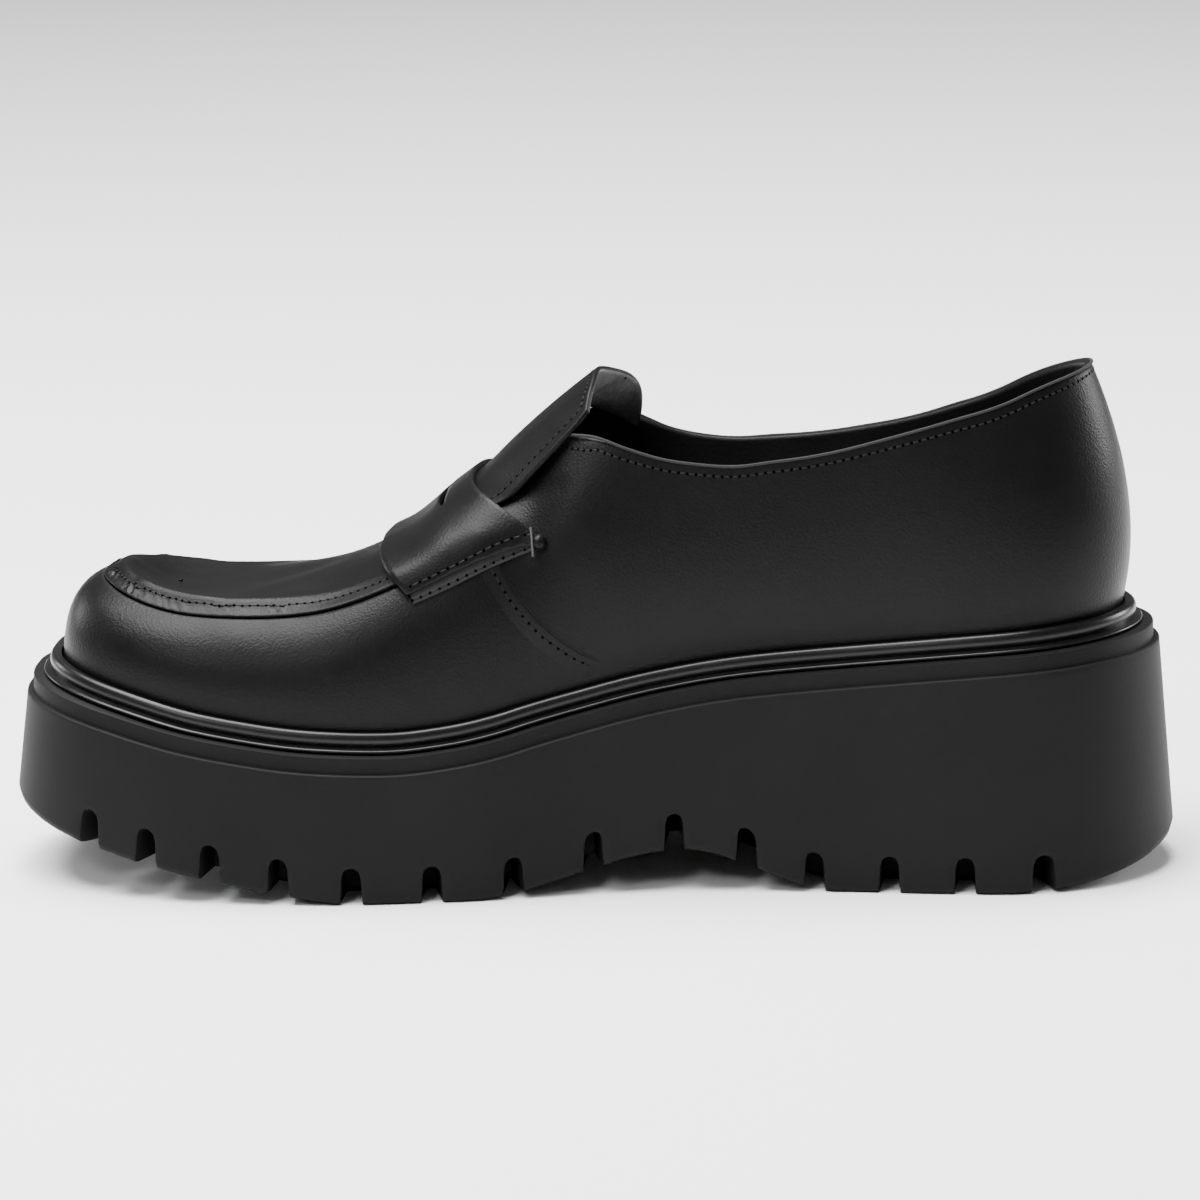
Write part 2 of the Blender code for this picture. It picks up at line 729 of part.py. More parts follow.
def make_upper():
    """The hollow leather upper: vamp and quarters in one wall, open at the collar and underneath."""
    points = []
    columns = []
    spine = {}
    for i, turn in enumerate(TURNS):
        closed = upper_place(turn) <= THROAT + 1e-6
        partner = min(i, COUNT - i)
        skirt = outline(turn, -FEATHER_INSET)
        points.append(Vector((skirt.x, skirt.y, rim_height(rim_at(turn).x) + GAP)))
        column = [len(points) - 1]
        for level in row_levels(turn):
            if level == 1.0 and closed and partner in spine:
                column.append(spine[partner])
                continue
            points.append(upper_point(turn, level))
            column.append(len(points) - 1)
            if level == 1.0 and closed:
                spine[partner] = column[-1]
        columns.append(column)
    upper = new_mesh_object("upper", points, mesh_rows(columns, closed=True), "black_leather")
    add_wall(upper, UPPER_WALL, -1)
    smooth_shaded(upper, 60)
    return upper


def add_wall(thing, thickness, side):
    """Gives an open surface its thickness, outward (1) or inward (-1)."""
    wall = thing.modifiers.new("wall", "SOLIDIFY")
    wall.thickness = thickness
    wall.offset = side


def make_apron():
    """The panel that closes the top of the toe, seated inside its seam."""
    points = []
    columns = []
    spine = {}
    kept = [i for i in range(COUNT) if upper_place(TURNS[i]) <= APRON_END]
    kept.sort(key=lambda i: TURNS[i] if TURNS[i] < math.pi else TURNS[i] - 2 * math.pi)
    for i in kept:
        turn = TURNS[i]
        partner = min(i, COUNT - i)
        column = []
        for level in row_levels(turn)[WALL_ROWS + 1 :]:
            if level == 1.0 and partner in spine:
                column.append(spine[partner])
                continue
            points.append(upper_skin(turn, level, GAP, seated=True))
            column.append(len(points) - 1)
            if level == 1.0:
                spine[partner] = column[-1]
        columns.append(column)
    apron = new_mesh_object("apron", points, mesh_rows(columns, closed=False), "black_leather")
    add_wall(apron, APRON_THICKNESS, 1)
    smooth_shaded(apron, 60)
    return apron


def strap_place(share, level):
    """The place along the upper of the strap at a share of its width.

    It runs straight over the top and sweeps back down the sides.
    """
    across = (1 - level) / (1 - STRAP_END_LEVEL)
    place = STRAP_FRONT + STRAP_WIDTH * share
    sweep = STRAP_FRONT_SWEEP + (STRAP_REAR_SWEEP - STRAP_FRONT_SWEEP) * share
    x = spine_x(place) + sweep * across**3
    for _ in range(4):
        place += (x - upper_point(turn_of(place, True), level, seated=False).x) / RIM_LENGTH
    return place


def tongue_root(share, across):
    """A point of the part of the tongue that lies on the upper, under the strap."""
    level = 1 - (1 - TONGUE_EDGE_LEVEL) * abs(across)
    end = strap_place(1.0, level) + TONGUE_CLEAR
    place = TONGUE_START + (end - TONGUE_START) * share
    return upper_skin(turn_of(place, across < 0), level, TONGUE_GAP)


def tongue_point(along, across):
    """A point of the tongue's inner face. The flap lies on the upper first and then stands free."""
    seated = 0.3
    if along <= seated:
        return tongue_root(along / seated, across)
    root = tongue_root(1.0, across)
    middle = tongue_root(1.0, 0.0)
    shares = [curve(across) * TONGUE_FREE for curve in tongue_curves]
    handle = middle + Vector(shares[:3])
    tip = middle + Vector(shares[3:])
    share = (along - seated) / (1 - seated)
    rest = 1 - share
    return root * rest**2 + handle * (2 * rest * share) + tip * share**2


def make_tongue():
    """The flap that comes out from under the strap and stands over the collar."""
    rows, sides = 10, 16
    points = [
        tongue_point(i / rows, -1 + 2 * j / sides)
        for i in range(rows + 1)
        for j in range(sides + 1)
    ]
    faces = []
    for i in range(rows):
        for j in range(sides):
            a = i * (sides + 1) + j
            faces.append((a, a + sides + 1, a + sides + 2, a + 1))
    tongue = new_mesh_object("tongue", points, faces, "black_leather")
    add_wall(tongue, TONGUE_THICKNESS, 1)
    smooth_shaded(tongue, 60)
    return tongue


def strap_point(share, across):
    """A point of the strap's inner face, by its share of the width and its way across the shoe."""
    level = 1 - (1 - STRAP_END_LEVEL) * abs(across)
    lift = STRAP_LIFT * smooth_step((level - STRAP_END_LEVEL) / 0.08)
    return upper_skin(turn_of(strap_place(share, level), across < 0), level, GAP + lift)


def make_strap():
    """The saddle strap, with the eye-shaped slot across its top."""
    sides = 28
    points = []
    widths = (0.0, 0.17, 0.34, 0.5, None, None, 0.84, 1.0)
    for width_index, width in enumerate(widths):
        for j in range(sides + 1):
            across = -1 + 2 * j / sides
            share = width
            if width is None:
                open_share = max(0.0, 1 - (across / STRAP_SLOT_HALF_LENGTH) ** 2)
                half = STRAP_SLOT_HALF_WIDTH * (0.2 + 0.8 * open_share)
                share = STRAP_SLOT_PLACE + (-half if width_index == 4 else half)
            points.append(strap_point(share, across))
    faces = []
    for i in range(len(widths) - 1):
        for j in range(sides):
            middle = abs(-1 + 2 * (j + 0.5) / sides)
            if i == 4 and middle < STRAP_SLOT_HALF_LENGTH:
                continue
            a = i * (sides + 1) + j
            faces.append((a, a + sides + 1, a + sides + 2, a + 1))
    strap = new_mesh_object("strap", points, faces, "black_leather")
    add_wall(strap, STRAP_THICKNESS, 1)
    smooth_shaded(strap, 60)
    return strap


def make_finishes():
    """One material for each finish of the plain model."""
    made = {}
    for name, (colour, roughness) in FINISHES.items():
        material = bpy.data.materials.new(name)
        material.use_nodes = True
        shader = material.node_tree.nodes["Principled BSDF"]
        shader.inputs["Base Color"].default_value = colour
        shader.inputs["Roughness"].default_value = roughness
        shader.inputs["Metallic"].default_value = 0.0
        made[name] = material
    return made


for old in list(bpy.data.objects):
    bpy.data.objects.remove(old)
collection = bpy.data.collections.new("chunky_lug_sole_loafer")
cutters = bpy.data.collections.new("cutters")
bpy.context.scene.collection.children.link(collection)
bpy.context.scene.collection.children.link(cutters)
finishes = make_finishes()
MIDDLE = sole_middle()

make_sole()
make_welt()
make_insole()
make_upper()
make_apron()
make_tongue()
make_strap()
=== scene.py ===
"""Looks of a chunky lug sole loafer: a right shoe in black leather on a moulded rubber sole.

The toe points along -X, the inner side faces -Y and the floor is at Z = 0. Lengths are in metres.
"""

import math

import bmesh
import bpy
import numpy as np
from mathutils import Matrix, Quaternion, Vector
from mathutils.bvhtree import BVHTree
from mathutils.kdtree import KDTree


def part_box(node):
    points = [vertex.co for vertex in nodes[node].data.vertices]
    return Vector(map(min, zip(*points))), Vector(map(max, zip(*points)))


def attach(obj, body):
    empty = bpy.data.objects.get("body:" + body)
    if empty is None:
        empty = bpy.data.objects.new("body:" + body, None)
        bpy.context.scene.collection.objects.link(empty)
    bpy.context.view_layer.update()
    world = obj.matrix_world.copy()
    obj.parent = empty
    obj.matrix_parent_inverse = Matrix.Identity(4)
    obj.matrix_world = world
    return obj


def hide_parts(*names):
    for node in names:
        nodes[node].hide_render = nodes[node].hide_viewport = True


# Camera
# The shoe is seen from its inner side, toe to the left, from a little above, with a long lens.
# The framing is that of the photograph, which is rolled by about half a degree.
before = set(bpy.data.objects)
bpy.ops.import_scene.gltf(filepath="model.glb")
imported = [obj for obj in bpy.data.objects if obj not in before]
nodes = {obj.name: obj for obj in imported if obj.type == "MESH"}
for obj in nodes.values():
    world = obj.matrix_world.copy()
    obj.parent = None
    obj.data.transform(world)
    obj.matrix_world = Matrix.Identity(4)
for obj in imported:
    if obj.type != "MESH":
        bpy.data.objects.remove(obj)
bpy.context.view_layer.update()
scene = bpy.context.scene

IMAGE_WIDTH = 1200
CAMERA_TURN = math.radians(3)
CAMERA_RISE = math.radians(12)
CAMERA_ROLL = math.radians(0.58)
CAMERA_DISTANCE = 1.2
CAMERA_AIM = Vector((0, 0, 0.055))
AIM_PIXEL = (595, 634.2)

camera_data = bpy.data.cameras.new("camera")
camera_data.lens = 145.8
camera_data.sensor_width = 36
camera_data.shift_x = (IMAGE_WIDTH / 2 - AIM_PIXEL[0]) / IMAGE_WIDTH
camera_data.shift_y = (AIM_PIXEL[1] - IMAGE_WIDTH / 2) / IMAGE_WIDTH
camera = bpy.data.objects.new("camera", camera_data)
scene.collection.objects.link(camera)
level_reach = CAMERA_DISTANCE * math.cos(CAMERA_RISE)
camera.location = CAMERA_AIM + Vector(
    (
        level_reach * math.sin(CAMERA_TURN),
        -level_reach * math.cos(CAMERA_TURN),
        CAMERA_DISTANCE * math.sin(CAMERA_RISE),
    )
)
sight = (CAMERA_AIM - camera.location).normalized()
camera.rotation_mode = "QUATERNION"
camera.rotation_quaternion = Quaternion(sight, CAMERA_ROLL) @ sight.to_track_quat("-Z", "Y")
scene.camera = camera


# Insole
# A thin foam footbed covered in black lining leather. It is cut to the foot of the last and glued
# down inside the upper, with a soft rounded edge.
MM = 0.001
WELD = 0.01 * MM
PAIR_FACE_TURN = math.radians(40)
PAIR_SHAPE_TURN = math.radians(70)


class Signal:
    """A shader socket that takes part in plain arithmetic."""

    def __init__(self, tree, socket):
        self.tree = tree
        self.socket = socket

    def math(self, operation, first, second):
        node = self.tree.nodes.new("ShaderNodeMath")
        node.operation = operation
        for i, value in enumerate((first, second)):
            if isinstance(value, Signal):
                self.tree.links.new(value.socket, node.inputs[i])
            else:
                node.inputs[i].default_value = value
        return Signal(self.tree, node.outputs[0])

    def __add__(self, other):
        return self.math("ADD", self, other)

    def __radd__(self, other):
        return self.math("ADD", other, self)

    def __mul__(self, other):
        return self.math("MULTIPLY", self, other)

    def __rmul__(self, other):
        return self.math("MULTIPLY", other, self)


class Finish:
    """A material with a Principled shader, and the nodes that feed it."""

    def __init__(self, name, **constants):
        self.material = bpy.data.materials.new(name)
        self.material.use_nodes = True
        self.tree = self.material.node_tree
        self.shader = self.tree.nodes["Principled BSDF"]
        for socket, value in constants.items():
            self.shader.inputs[socket.replace("_", " ")].default_value = value

    def node(self, kind, settings, sockets, output=0):
        """Adds a node. Its settings come first, then the values or links of its sockets."""
        node = self.tree.nodes.new(kind)
        for name, value in settings.items():
            setattr(node, name, value)
        for name, value in sockets.items():
            if isinstance(value, Signal):
                self.tree.links.new(value.socket, node.inputs[name])
            else:
                node.inputs[name].default_value = value
        return Signal(self.tree, node.outputs[output])

    def place(self):
        """The point on the piece, in metres."""
        return self.node("ShaderNodeTexCoord", {}, {}, "Object")

    def noise(self, scale, detail):
        sockets = {"Vector": self.place(), "Scale": scale, "Detail": detail}
        return self.node("ShaderNodeTexNoise", {}, sockets)

    def cells(self, scale):
        sockets = {"Vector": self.place(), "Scale": scale}
        return self.node("ShaderNodeTexVoronoi", {}, sockets)

    def mix(self, share, first, second):
        """A colour between two colours."""
        return self.node(
            "ShaderNodeMix", {"data_type": "RGBA"}, {0: share, 6: first, 7: second}, 2
        )

    def feed(self, socket, value):
        self.tree.links.new(value.socket, self.shader.inputs[socket])

    def relief(self, height, distance, strength=1.0):
        """Bump from a height signal whose full range is a distance in metres."""
        bump = self.node(
            "ShaderNodeBump", {}, {"Height": height, "Distance": distance, "Strength": strength}
        )
        self.feed("Normal", bump)


def grey(value):
    """A neutral colour."""
    return (value, value, value, 1)


def merged_copy(node):
    """A CAD node's mesh as a bmesh, with its triangles joined up and paired into quads."""
    shape = bmesh.new()
    shape.from_mesh(nodes[node].data)
    bmesh.ops.remove_doubles(shape, verts=shape.verts, dist=WELD)
    bmesh.ops.join_triangles(
        shape,
        faces=shape.faces,
        cmp_seam=False,
        cmp_sharp=False,
        cmp_uvs=False,
        cmp_vcols=False,
        cmp_materials=False,
        angle_face_threshold=PAIR_FACE_TURN,
        angle_shape_threshold=PAIR_SHAPE_TURN,
    )
    return shape


def rounded(shape, levels):
    """The shape after smooth subdivision."""
    cage = bpy.data.meshes.new("cage")
    shape.to_mesh(cage)
    shape.free()
    holder = bpy.data.objects.new("cage", cage)
    scene.collection.objects.link(holder)
    smooth = holder.modifiers.new("smooth", "SUBSURF")
    smooth.levels = levels
    smooth.render_levels = levels
    graph = bpy.context.evaluated_depsgraph_get()
    fine = bpy.data.meshes.new_from_object(holder.evaluated_get(graph))
    result = bmesh.new()
    result.from_mesh(fine)
    bpy.data.objects.remove(holder)
    bpy.data.meshes.remove(cage)
    bpy.data.meshes.remove(fine)
    return result


def piece(shape, name, slot, *finishes, sharp=None):
    """An object from a finished bmesh, riding on the shoe."""
    mesh = bpy.data.meshes.new(name)
    shape.to_mesh(mesh)
    shape.free()
    mesh.shade_smooth()
    if sharp is not None:
        mesh.set_sharp_from_angle(angle=math.radians(sharp))
    for finish in finishes:
        mesh.materials.append(finish.material)
    thing = bpy.data.objects.new(name, mesh)
    scene.collection.objects.link(thing)
    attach(thing, "root")
    return thing


def lining_finish():
    """Thin black lining leather, dull, with a soft pebbled grain."""
    lining = Finish("lining_leather", Roughness=0.5, IOR=1.3, Specular_IOR_Level=0.4)
    mottle = lining.noise(60, 3)
    lining.feed("Base Color", lining.mix(mottle, grey(0.006), grey(0.018)))
    lining.relief(lining.cells(900) * 0.6 + lining.noise(2500, 2) * 0.4, 0.10 * MM)
    return lining


lining = lining_finish()
insole = piece(rounded(merged_copy("insole"), 2), "footbed", "lining_leather", lining)
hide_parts("insole")


# Upper
# The vamp and quarters, cut from smooth black corrected leather and lasted over the foot form, with
# a dull leather lining inside. The leather is fine grained, with a soft sheen.
def leather_finish():
    """Black corrected leather: faint cloudy tone, fine grain and a soft sheen."""
    leather = Finish("upper_leather", IOR=1.15, Specular_IOR_Level=0.9)
    cloud = leather.noise(22, 4)
    leather.feed("Base Color", leather.mix(cloud, grey(0.0022), grey(0.0042)))
    leather.feed("Roughness", 0.32 + leather.noise(140, 3) * 0.14)
    grain = leather.cells(1500) * 0.5 + leather.noise(2600, 3) * 0.5
    leather.relief(grain, 0.12 * MM, 0.8)
    return leather


PATCH_TURN = math.radians(50)
CORNER_TURN = math.radians(40)
CURVE_PARTS = 10
CORD_SIDES = 8


def patch(shape, near):
    """The faces that run on smoothly from the one nearest a point."""
    shape.faces.index_update()
    shape.faces.ensure_lookup_table()
    start = shape.faces[BVHTree.FromBMesh(shape).find_nearest(near)[2]]
    found = {start}
    waiting = [start]
    while waiting:
        for edge in waiting.pop().edges:
            if edge.calc_face_angle(0) > PATCH_TURN:
                continue
            for face in edge.link_faces:
                if face not in found:
                    found.add(face)
                    waiting.append(face)
    return found


def rims(faces):
    """The closed lines of points round some faces, the longest first."""
    linked = {}
    for face in sorted(faces, key=lambda face: face.index):
        for edge in face.edges:
            if sum(other in faces for other in edge.link_faces) == 1:
                for vert in edge.verts:
                    linked.setdefault(vert, []).append(edge)
    lines = []
    while linked:
        vert, edges = next(iter(linked.items()))
        line = []
        while edges:
            edge = edges.pop()
            line.append(vert.co.copy())
            vert = edge.other_vert(vert)
            edges = linked[vert]
            edges.remove(edge)
        lines.append(line)
        linked = {vert: edges for vert, edges in linked.items() if edges}
    lines.sort(key=len, reverse=True)
    return lines


def ease(value):
    """A smooth rise from 0 to 1 while a value goes from 0 to 1."""
    value = min(max(value, 0.0), 1.0)
    return value * value * (3 - 2 * value)


def between(value, start, end):
    """A smooth rise from 0 to 1 while a value goes from its start to its end."""
    return ease((value - start) / (end - start))


def creased(shape, amount):
    """The shape with its corners held against the smoothing."""
    layer = shape.edges.layers.float.new("crease_edge")
    for edge in shape.edges:
        if edge.calc_face_angle(0) > CORNER_TURN:
            edge[layer] = amount
    return shape


def route(points, step, closed=False):
    """Points at an even step along the smooth curve through some points."""
    count = len(points)
    fine = []
    for i in range(count if closed else count - 1):
        if closed:
            four = [points[(i + k) % count] for k in (-1, 0, 1, 2)]
        else:
            four = [points[min(max(i + k, 0), count - 1)] for k in (-1, 0, 1, 2)]
        a, b, c, d = four
        for k in range(CURVE_PARTS):
            t = k / CURVE_PARTS
            bend = (2 * a - 5 * b + 4 * c - d) * t**2 + (3 * b - a - 3 * c + d) * t**3
            fine.append(0.5 * (2 * b + (c - a) * t + bend))
    fine.append(points[0 if closed else -1])
    runs = np.concatenate(([0.0], np.cumsum([(q - p).length for p, q in zip(fine, fine[1:])])))
    steps = max(round(runs[-1] / step), 2)
    wanted = np.linspace(0, runs[-1], steps + 1)[: steps if closed else steps + 1]
    table = np.array([point[:] for point in fine])
    return [Vector([np.interp(w, runs, table[:, k]) for k in range(3)]) for w in wanted]


def sheet(rows, trim=0):
    """A skin through rows of points. Its last strips of faces take the second material."""
    shape = bmesh.new()
    along, across = len(rows) - 1, len(rows[0]) - 1
    bmesh.ops.create_grid(shape, x_segments=along, y_segments=across, size=1)
    for face in shape.faces:
        if trim and face.calc_center_median().y > 1 - 2 * trim / across:
            face.material_index = 1
    for vert in shape.verts:
        i = round((vert.co.x + 1) / 2 * along)
        j = round((vert.co.y + 1) / 2 * across)
        vert.co = rows[i][j]
    bmesh.ops.remove_doubles(shape, verts=shape.verts, dist=WELD)
    bmesh.ops.dissolve_degenerate(shape, edges=shape.edges, dist=WELD / 10)
    return shape


def laid(skin, line, profile, trim=0):
    """A band along a line on a skin. Its profile lists each row's reach to the left and its lift."""
    rows = []
    for i, spot in enumerate(line):
        base, normal, _, _ = skin.find_nearest(spot)
        ahead = line[min(i + 1, len(line) - 1)] - line[max(i - 1, 0)]
        side = normal.cross(ahead).normalized()
        row = []
        for reach, lift in profile:
            near, up, _, _ = skin.find_nearest(base + side * reach * MM)
            row.append(near + up * lift * MM)
        rows.append(row)
    return sheet(rows, trim)


def cord(line, radius, lift=0.0):
    """A round cord along a line, raised by a lift."""
    rows = []
    for i, spot in enumerate(line):
        ahead = (line[min(i + 1, len(line) - 1)] - line[max(i - 1, 0)]).normalized()
        spot = spot + Vector((0, 0, lift))
        side = Vector((0, 0, 1)).cross(ahead).normalized()
        up = ahead.cross(side)
        angles = [math.tau * k / CORD_SIDES for k in range(CORD_SIDES + 1)]
        rows.append([spot + (side * math.cos(a) + up * math.sin(a)) * radius for a in angles])
    return sheet(rows)


STITCH_WIDTH = 0.46 * MM
STITCH_SINK = 0.02 * MM
STITCH_HALF_SHARE = 0.40
HOLE_SHADE_RADIUS = 0.40 * MM


def stitch_pattern(step):
    """One stitch along X as a mesh: a short thread with a flat near-black disc at its start, painted
    shade for its needle hole.
    """
    shape = bmesh.new()
    shade_disc = Matrix.Diagonal((HOLE_SHADE_RADIUS, HOLE_SHADE_RADIUS, HOLE_SHADE_RADIUS / 4, 1))
    bmesh.ops.create_uvsphere(shape, u_segments=8, v_segments=4, radius=1, matrix=shade_disc)
    # The disc takes the second material: near-black, painted shade for the hole.
    for face in shape.faces:
        face.material_index = 1
    strand = Matrix.Diagonal((step * STITCH_HALF_SHARE, STITCH_WIDTH / 2, STITCH_WIDTH / 3, 1))
    at = Matrix.Translation((step / 2, 0, -STITCH_SINK))
    bmesh.ops.create_uvsphere(shape, u_segments=8, v_segments=5, radius=1, matrix=at @ strand)
    pattern = bpy.data.meshes.new("stitch")
    shape.to_mesh(pattern)
    shape.free()
    return pattern


def stitches(skin, line, step):
    """A row of stitches along a line on a skin: short threads, each between two flat near-black discs,
    painted shade for the needle holes.
    """
    row = bmesh.new()
    pattern = stitch_pattern(step)
    spots = [skin.find_nearest(point)[:2] for point in route(line, step)]
    for (a, normal), (b, _) in zip(spots, spots[1:]):
        ahead = (b - a).normalized()
        side = normal.cross(ahead).normalized()
        turn = Matrix((ahead, side, ahead.cross(side))).transposed().to_4x4()
        stitch = pattern.copy()
        stitch.transform(Matrix.Translation(a) @ turn)
        row.from_mesh(stitch)
        bpy.data.meshes.remove(stitch)
    bpy.data.meshes.remove(pattern)
    return row


leather = leather_finish()
thread = Finish("black_thread", Base_Color=grey(0.006), Roughness=0.5, Specular_IOR_Level=0.15)
# The needle holes are flat near-black discs, painted shade where the holes would fall dark.
painted_hole_shade = Finish("needle_hole_painted_shade", Base_Color=grey(0.001), Roughness=0.9, Specular_IOR_Level=0.0)
# A paler grey: the raw cut edges' own tone on the laps and hems, and a painted highlight on the topline's
# folded edge.
raw_edge_and_fold_highlight = Finish("raw_edge_and_painted_highlight", Base_Color=grey(0.016), Roughness=0.7, Specular_IOR_Level=0.2)
CREASE = 0.6
# Faces that look toward a line through the middle of the upper are the lining
SPINE_HALF = 95 * MM
SPINE_HEIGHT = 69 * MM
# A point behind the heel, from which the outer leather is found, and the least height of the collar
BEHIND_HEEL = Vector((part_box("upper")[1][0] + 5 * MM, 0, 100 * MM))
COLLAR_LOWEST = 80 * MM
cage = merged_copy("upper")
collar_line = next(
    line for line in rims(patch(cage, BEHIND_HEEL)) if min(point.z for point in line) > COLLAR_LOWEST
)
body = rounded(creased(cage, CREASE), 2)
for face in body.faces:
    middle = face.calc_center_median()
    spine = Vector((min(max(middle.x, -SPINE_HALF), SPINE_HALF), 0, SPINE_HEIGHT))
    face.material_index = 1 if face.normal.dot(middle - spine) < 0 else 0
leather_skin = BVHTree.FromBMesh(body)
upper = piece(body, "vamp_and_quarters", "upper_leather", leather, lining)
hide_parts("upper")

# Topline
# The top edge of the quarters is folded over the lining, which leaves a fine round edge, paler than the
# leather as a painted highlight along the fold. A row of black stitches holds the fold, a little below
# it.
TOPLINE_STEP = 1.5 * MM
TOPLINE_RADIUS = 0.38 * MM
TOPLINE_SINK = 0.15 * MM
TOPLINE_STITCH_DROP = 2.0 * MM
TOPLINE_STITCH_STAND = 4.0 * MM
TOPLINE_STITCH_STEP = 2.1 * MM
topline = route(collar_line, TOPLINE_STEP, closed=True)
edge_cord = cord(topline + topline[:1], TOPLINE_RADIUS, lift=-TOPLINE_SINK)
# The fold's round edge takes the paler edge colour, a painted highlight along the fold.
piece(edge_cord, "topline_edge", "upper_leather", raw_edge_and_fold_highlight)
below = [
    point + Vector((0, math.copysign(TOPLINE_STITCH_STAND, point.y), -TOPLINE_STITCH_DROP))
    for point in topline
]
row = stitches(leather_skin, below + below[:1], TOPLINE_STITCH_STEP)
piece(row, "topline_stitches", None, thread, painted_hole_shade)

# Side seams
# On both sides the vamp's raw edge laps over the quarter, from under the strap down to the welt. It
# is sewn down with one row of stitches just inside the edge.
SIDE_SEAM = (
    # place along the shoe and height, in millimetres
    (-23.0, 81.5),
    (-20.0, 77.2),
    (-16.3, 71.2),
    (-10.4, 64.2),
    (-6.2, 60.6),
    (-2.3, 57.7),
    (2.5, 55.2),
)
LAP = (
    # reach across the edge toward the heel and lift off the leather, in millimetres
    (-6.5, -0.20),
    (-4.6, 0.05),
    (-2.6, 0.30),
    (-1.0, 0.58),
    (-0.3, 0.62),
    (-0.06, 0.54),
    (0.06, 0.30),
    (0.1, -0.20),
)
LAP_STEP = 1.0 * MM
LAP_EDGE_STRIPS = 2
# How far in front of the edge the stitches run, and their lift onto the lap
SIDE_STITCH_SHIFT = Vector((-1.7, 0, -1.3)) * MM
SIDE_STITCH_LIFT = 0.42 * MM
SIDE_STITCH_STEP = 2.4 * MM
# A place well off either side of the shoe, in millimetres
BESIDE = 60


def side_point(place, way):
    """The leather's point at a place and height on one side, -1 for the inner and 1 for the outer."""
    x, z = place
    return leather_skin.ray_cast(Vector((x, way * BESIDE, z)) * MM, Vector((0, -way, 0)))[0]


for name, way in (("inner", -1), ("outer", 1)):
    line = [side_point(place, way) for place in SIDE_SEAM]
    if way > 0:
        line.reverse()
    lap = laid(leather_skin, route(line, LAP_STEP), LAP, trim=LAP_EDGE_STRIPS)
    piece(lap, f"side_seam_{name}", "upper_leather", leather, raw_edge_and_fold_highlight)
    row = stitches(leather_skin, [point + SIDE_STITCH_SHIFT for point in line], SIDE_STITCH_STEP)
    bmesh.ops.translate(row, verts=row.verts, vec=(0, way * SIDE_STITCH_LIFT, 0))
    piece(row, f"side_seam_stitches_{name}", None, thread, painted_hole_shade)

# Apron
# The panel on top of the toe, of the same leather. Its edge is gathered in small puckers where it is
# sewn to the vamp, with a row of stitches just inside the seam.
PUCKER_DEPTH = 0.42 * MM
PUCKER_LENGTH = 2.3 * MM
PUCKER_REACH = 4.4 * MM
# The puckers begin here and reach their full depth toward the toe, over this length
PUCKER_END = -64 * MM
PUCKER_FADE = 16 * MM
# The share of their depth by which the puckers lie lower on the whole, and how they slant: the shift
# along the seam for each step away from it
PUCKER_SINK = 0.4
PUCKER_SLANT = 0.7
# The roll of leather inside the seam, and how much deeper the middle is dished
ROLL_HEIGHT = 0.45 * MM
ROLL_PLACE = 5.6 * MM
ROLL_WIDTH = 1.5 * MM
DISH_DEPTH = 0.55 * MM
DISH_EASE = 6 * MM
# The roll and the dish begin here and are full toward the toe, over this length
FRONT_START = -45 * MM
FRONT_FADE = 20 * MM
# Where the panel's normal rises less than this, it is the panel's edge or underside
TOP_FACING = 0.2
MIDDLE_SMOOTHING = 8
BORDER_STEP = 0.5 * MM
OVER_TOE = Vector((-90, 0, 100)) * MM


def pucker(arc, away):
    """The rise of the gathers at a place along the seam and a distance from it, over their depth."""
    uneven = 2.0 * math.sin(arc / (3.7 * MM)) + 1.2 * math.sin(arc / (1.3 * MM))
    wave = math.sin(math.tau * (arc + PUCKER_SLANT * away) / PUCKER_LENGTH + uneven)
    strength = 0.55 + 0.45 * math.sin(arc / (2.1 * MM) + 1.0)
    spread = math.sin(math.pi * min(away / PUCKER_REACH, 1.0)) ** 2
    return spread * (wave * strength - PUCKER_SINK)


apron_cage = merged_copy("apron")
border = rims(patch(apron_cage, OVER_TOE))[0]
apron_body = rounded(creased(apron_cage, CREASE), 3)
border_route = route(border, BORDER_STEP, closed=True)
border_tree = KDTree(len(border_route))
for i, point in enumerate(border_route):
    border_tree.insert(point, i)
border_tree.balance()
middle = [vert for vert in apron_body.verts if border_tree.find(vert.co)[2] > ROLL_PLACE]
for _ in range(MIDDLE_SMOOTHING):
    bmesh.ops.smooth_vert(
        apron_body, verts=middle, factor=0.5, use_axis_x=True, use_axis_y=True, use_axis_z=True
    )
apron_body.normal_update()
for vert in apron_body.verts:
    if vert.normal.z < TOP_FACING:
        continue
    _, i, away = border_tree.find(vert.co)
    toe = between(vert.co.x, FRONT_START, FRONT_START - FRONT_FADE)
    gathered = between(vert.co.x, PUCKER_END, PUCKER_END - PUCKER_FADE)
    lift = PUCKER_DEPTH * gathered * pucker(i * BORDER_STEP, away)
    lift += toe * ROLL_HEIGHT * math.exp(-(((away - ROLL_PLACE) / ROLL_WIDTH) ** 2))
    lift -= toe * DISH_DEPTH * ease((away - ROLL_PLACE) / DISH_EASE)
    vert.co += vert.normal * lift
apron_skin = BVHTree.FromBMesh(apron_body)
apron = piece(apron_body, "apron_panel", "upper_leather", leather)
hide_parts("apron")

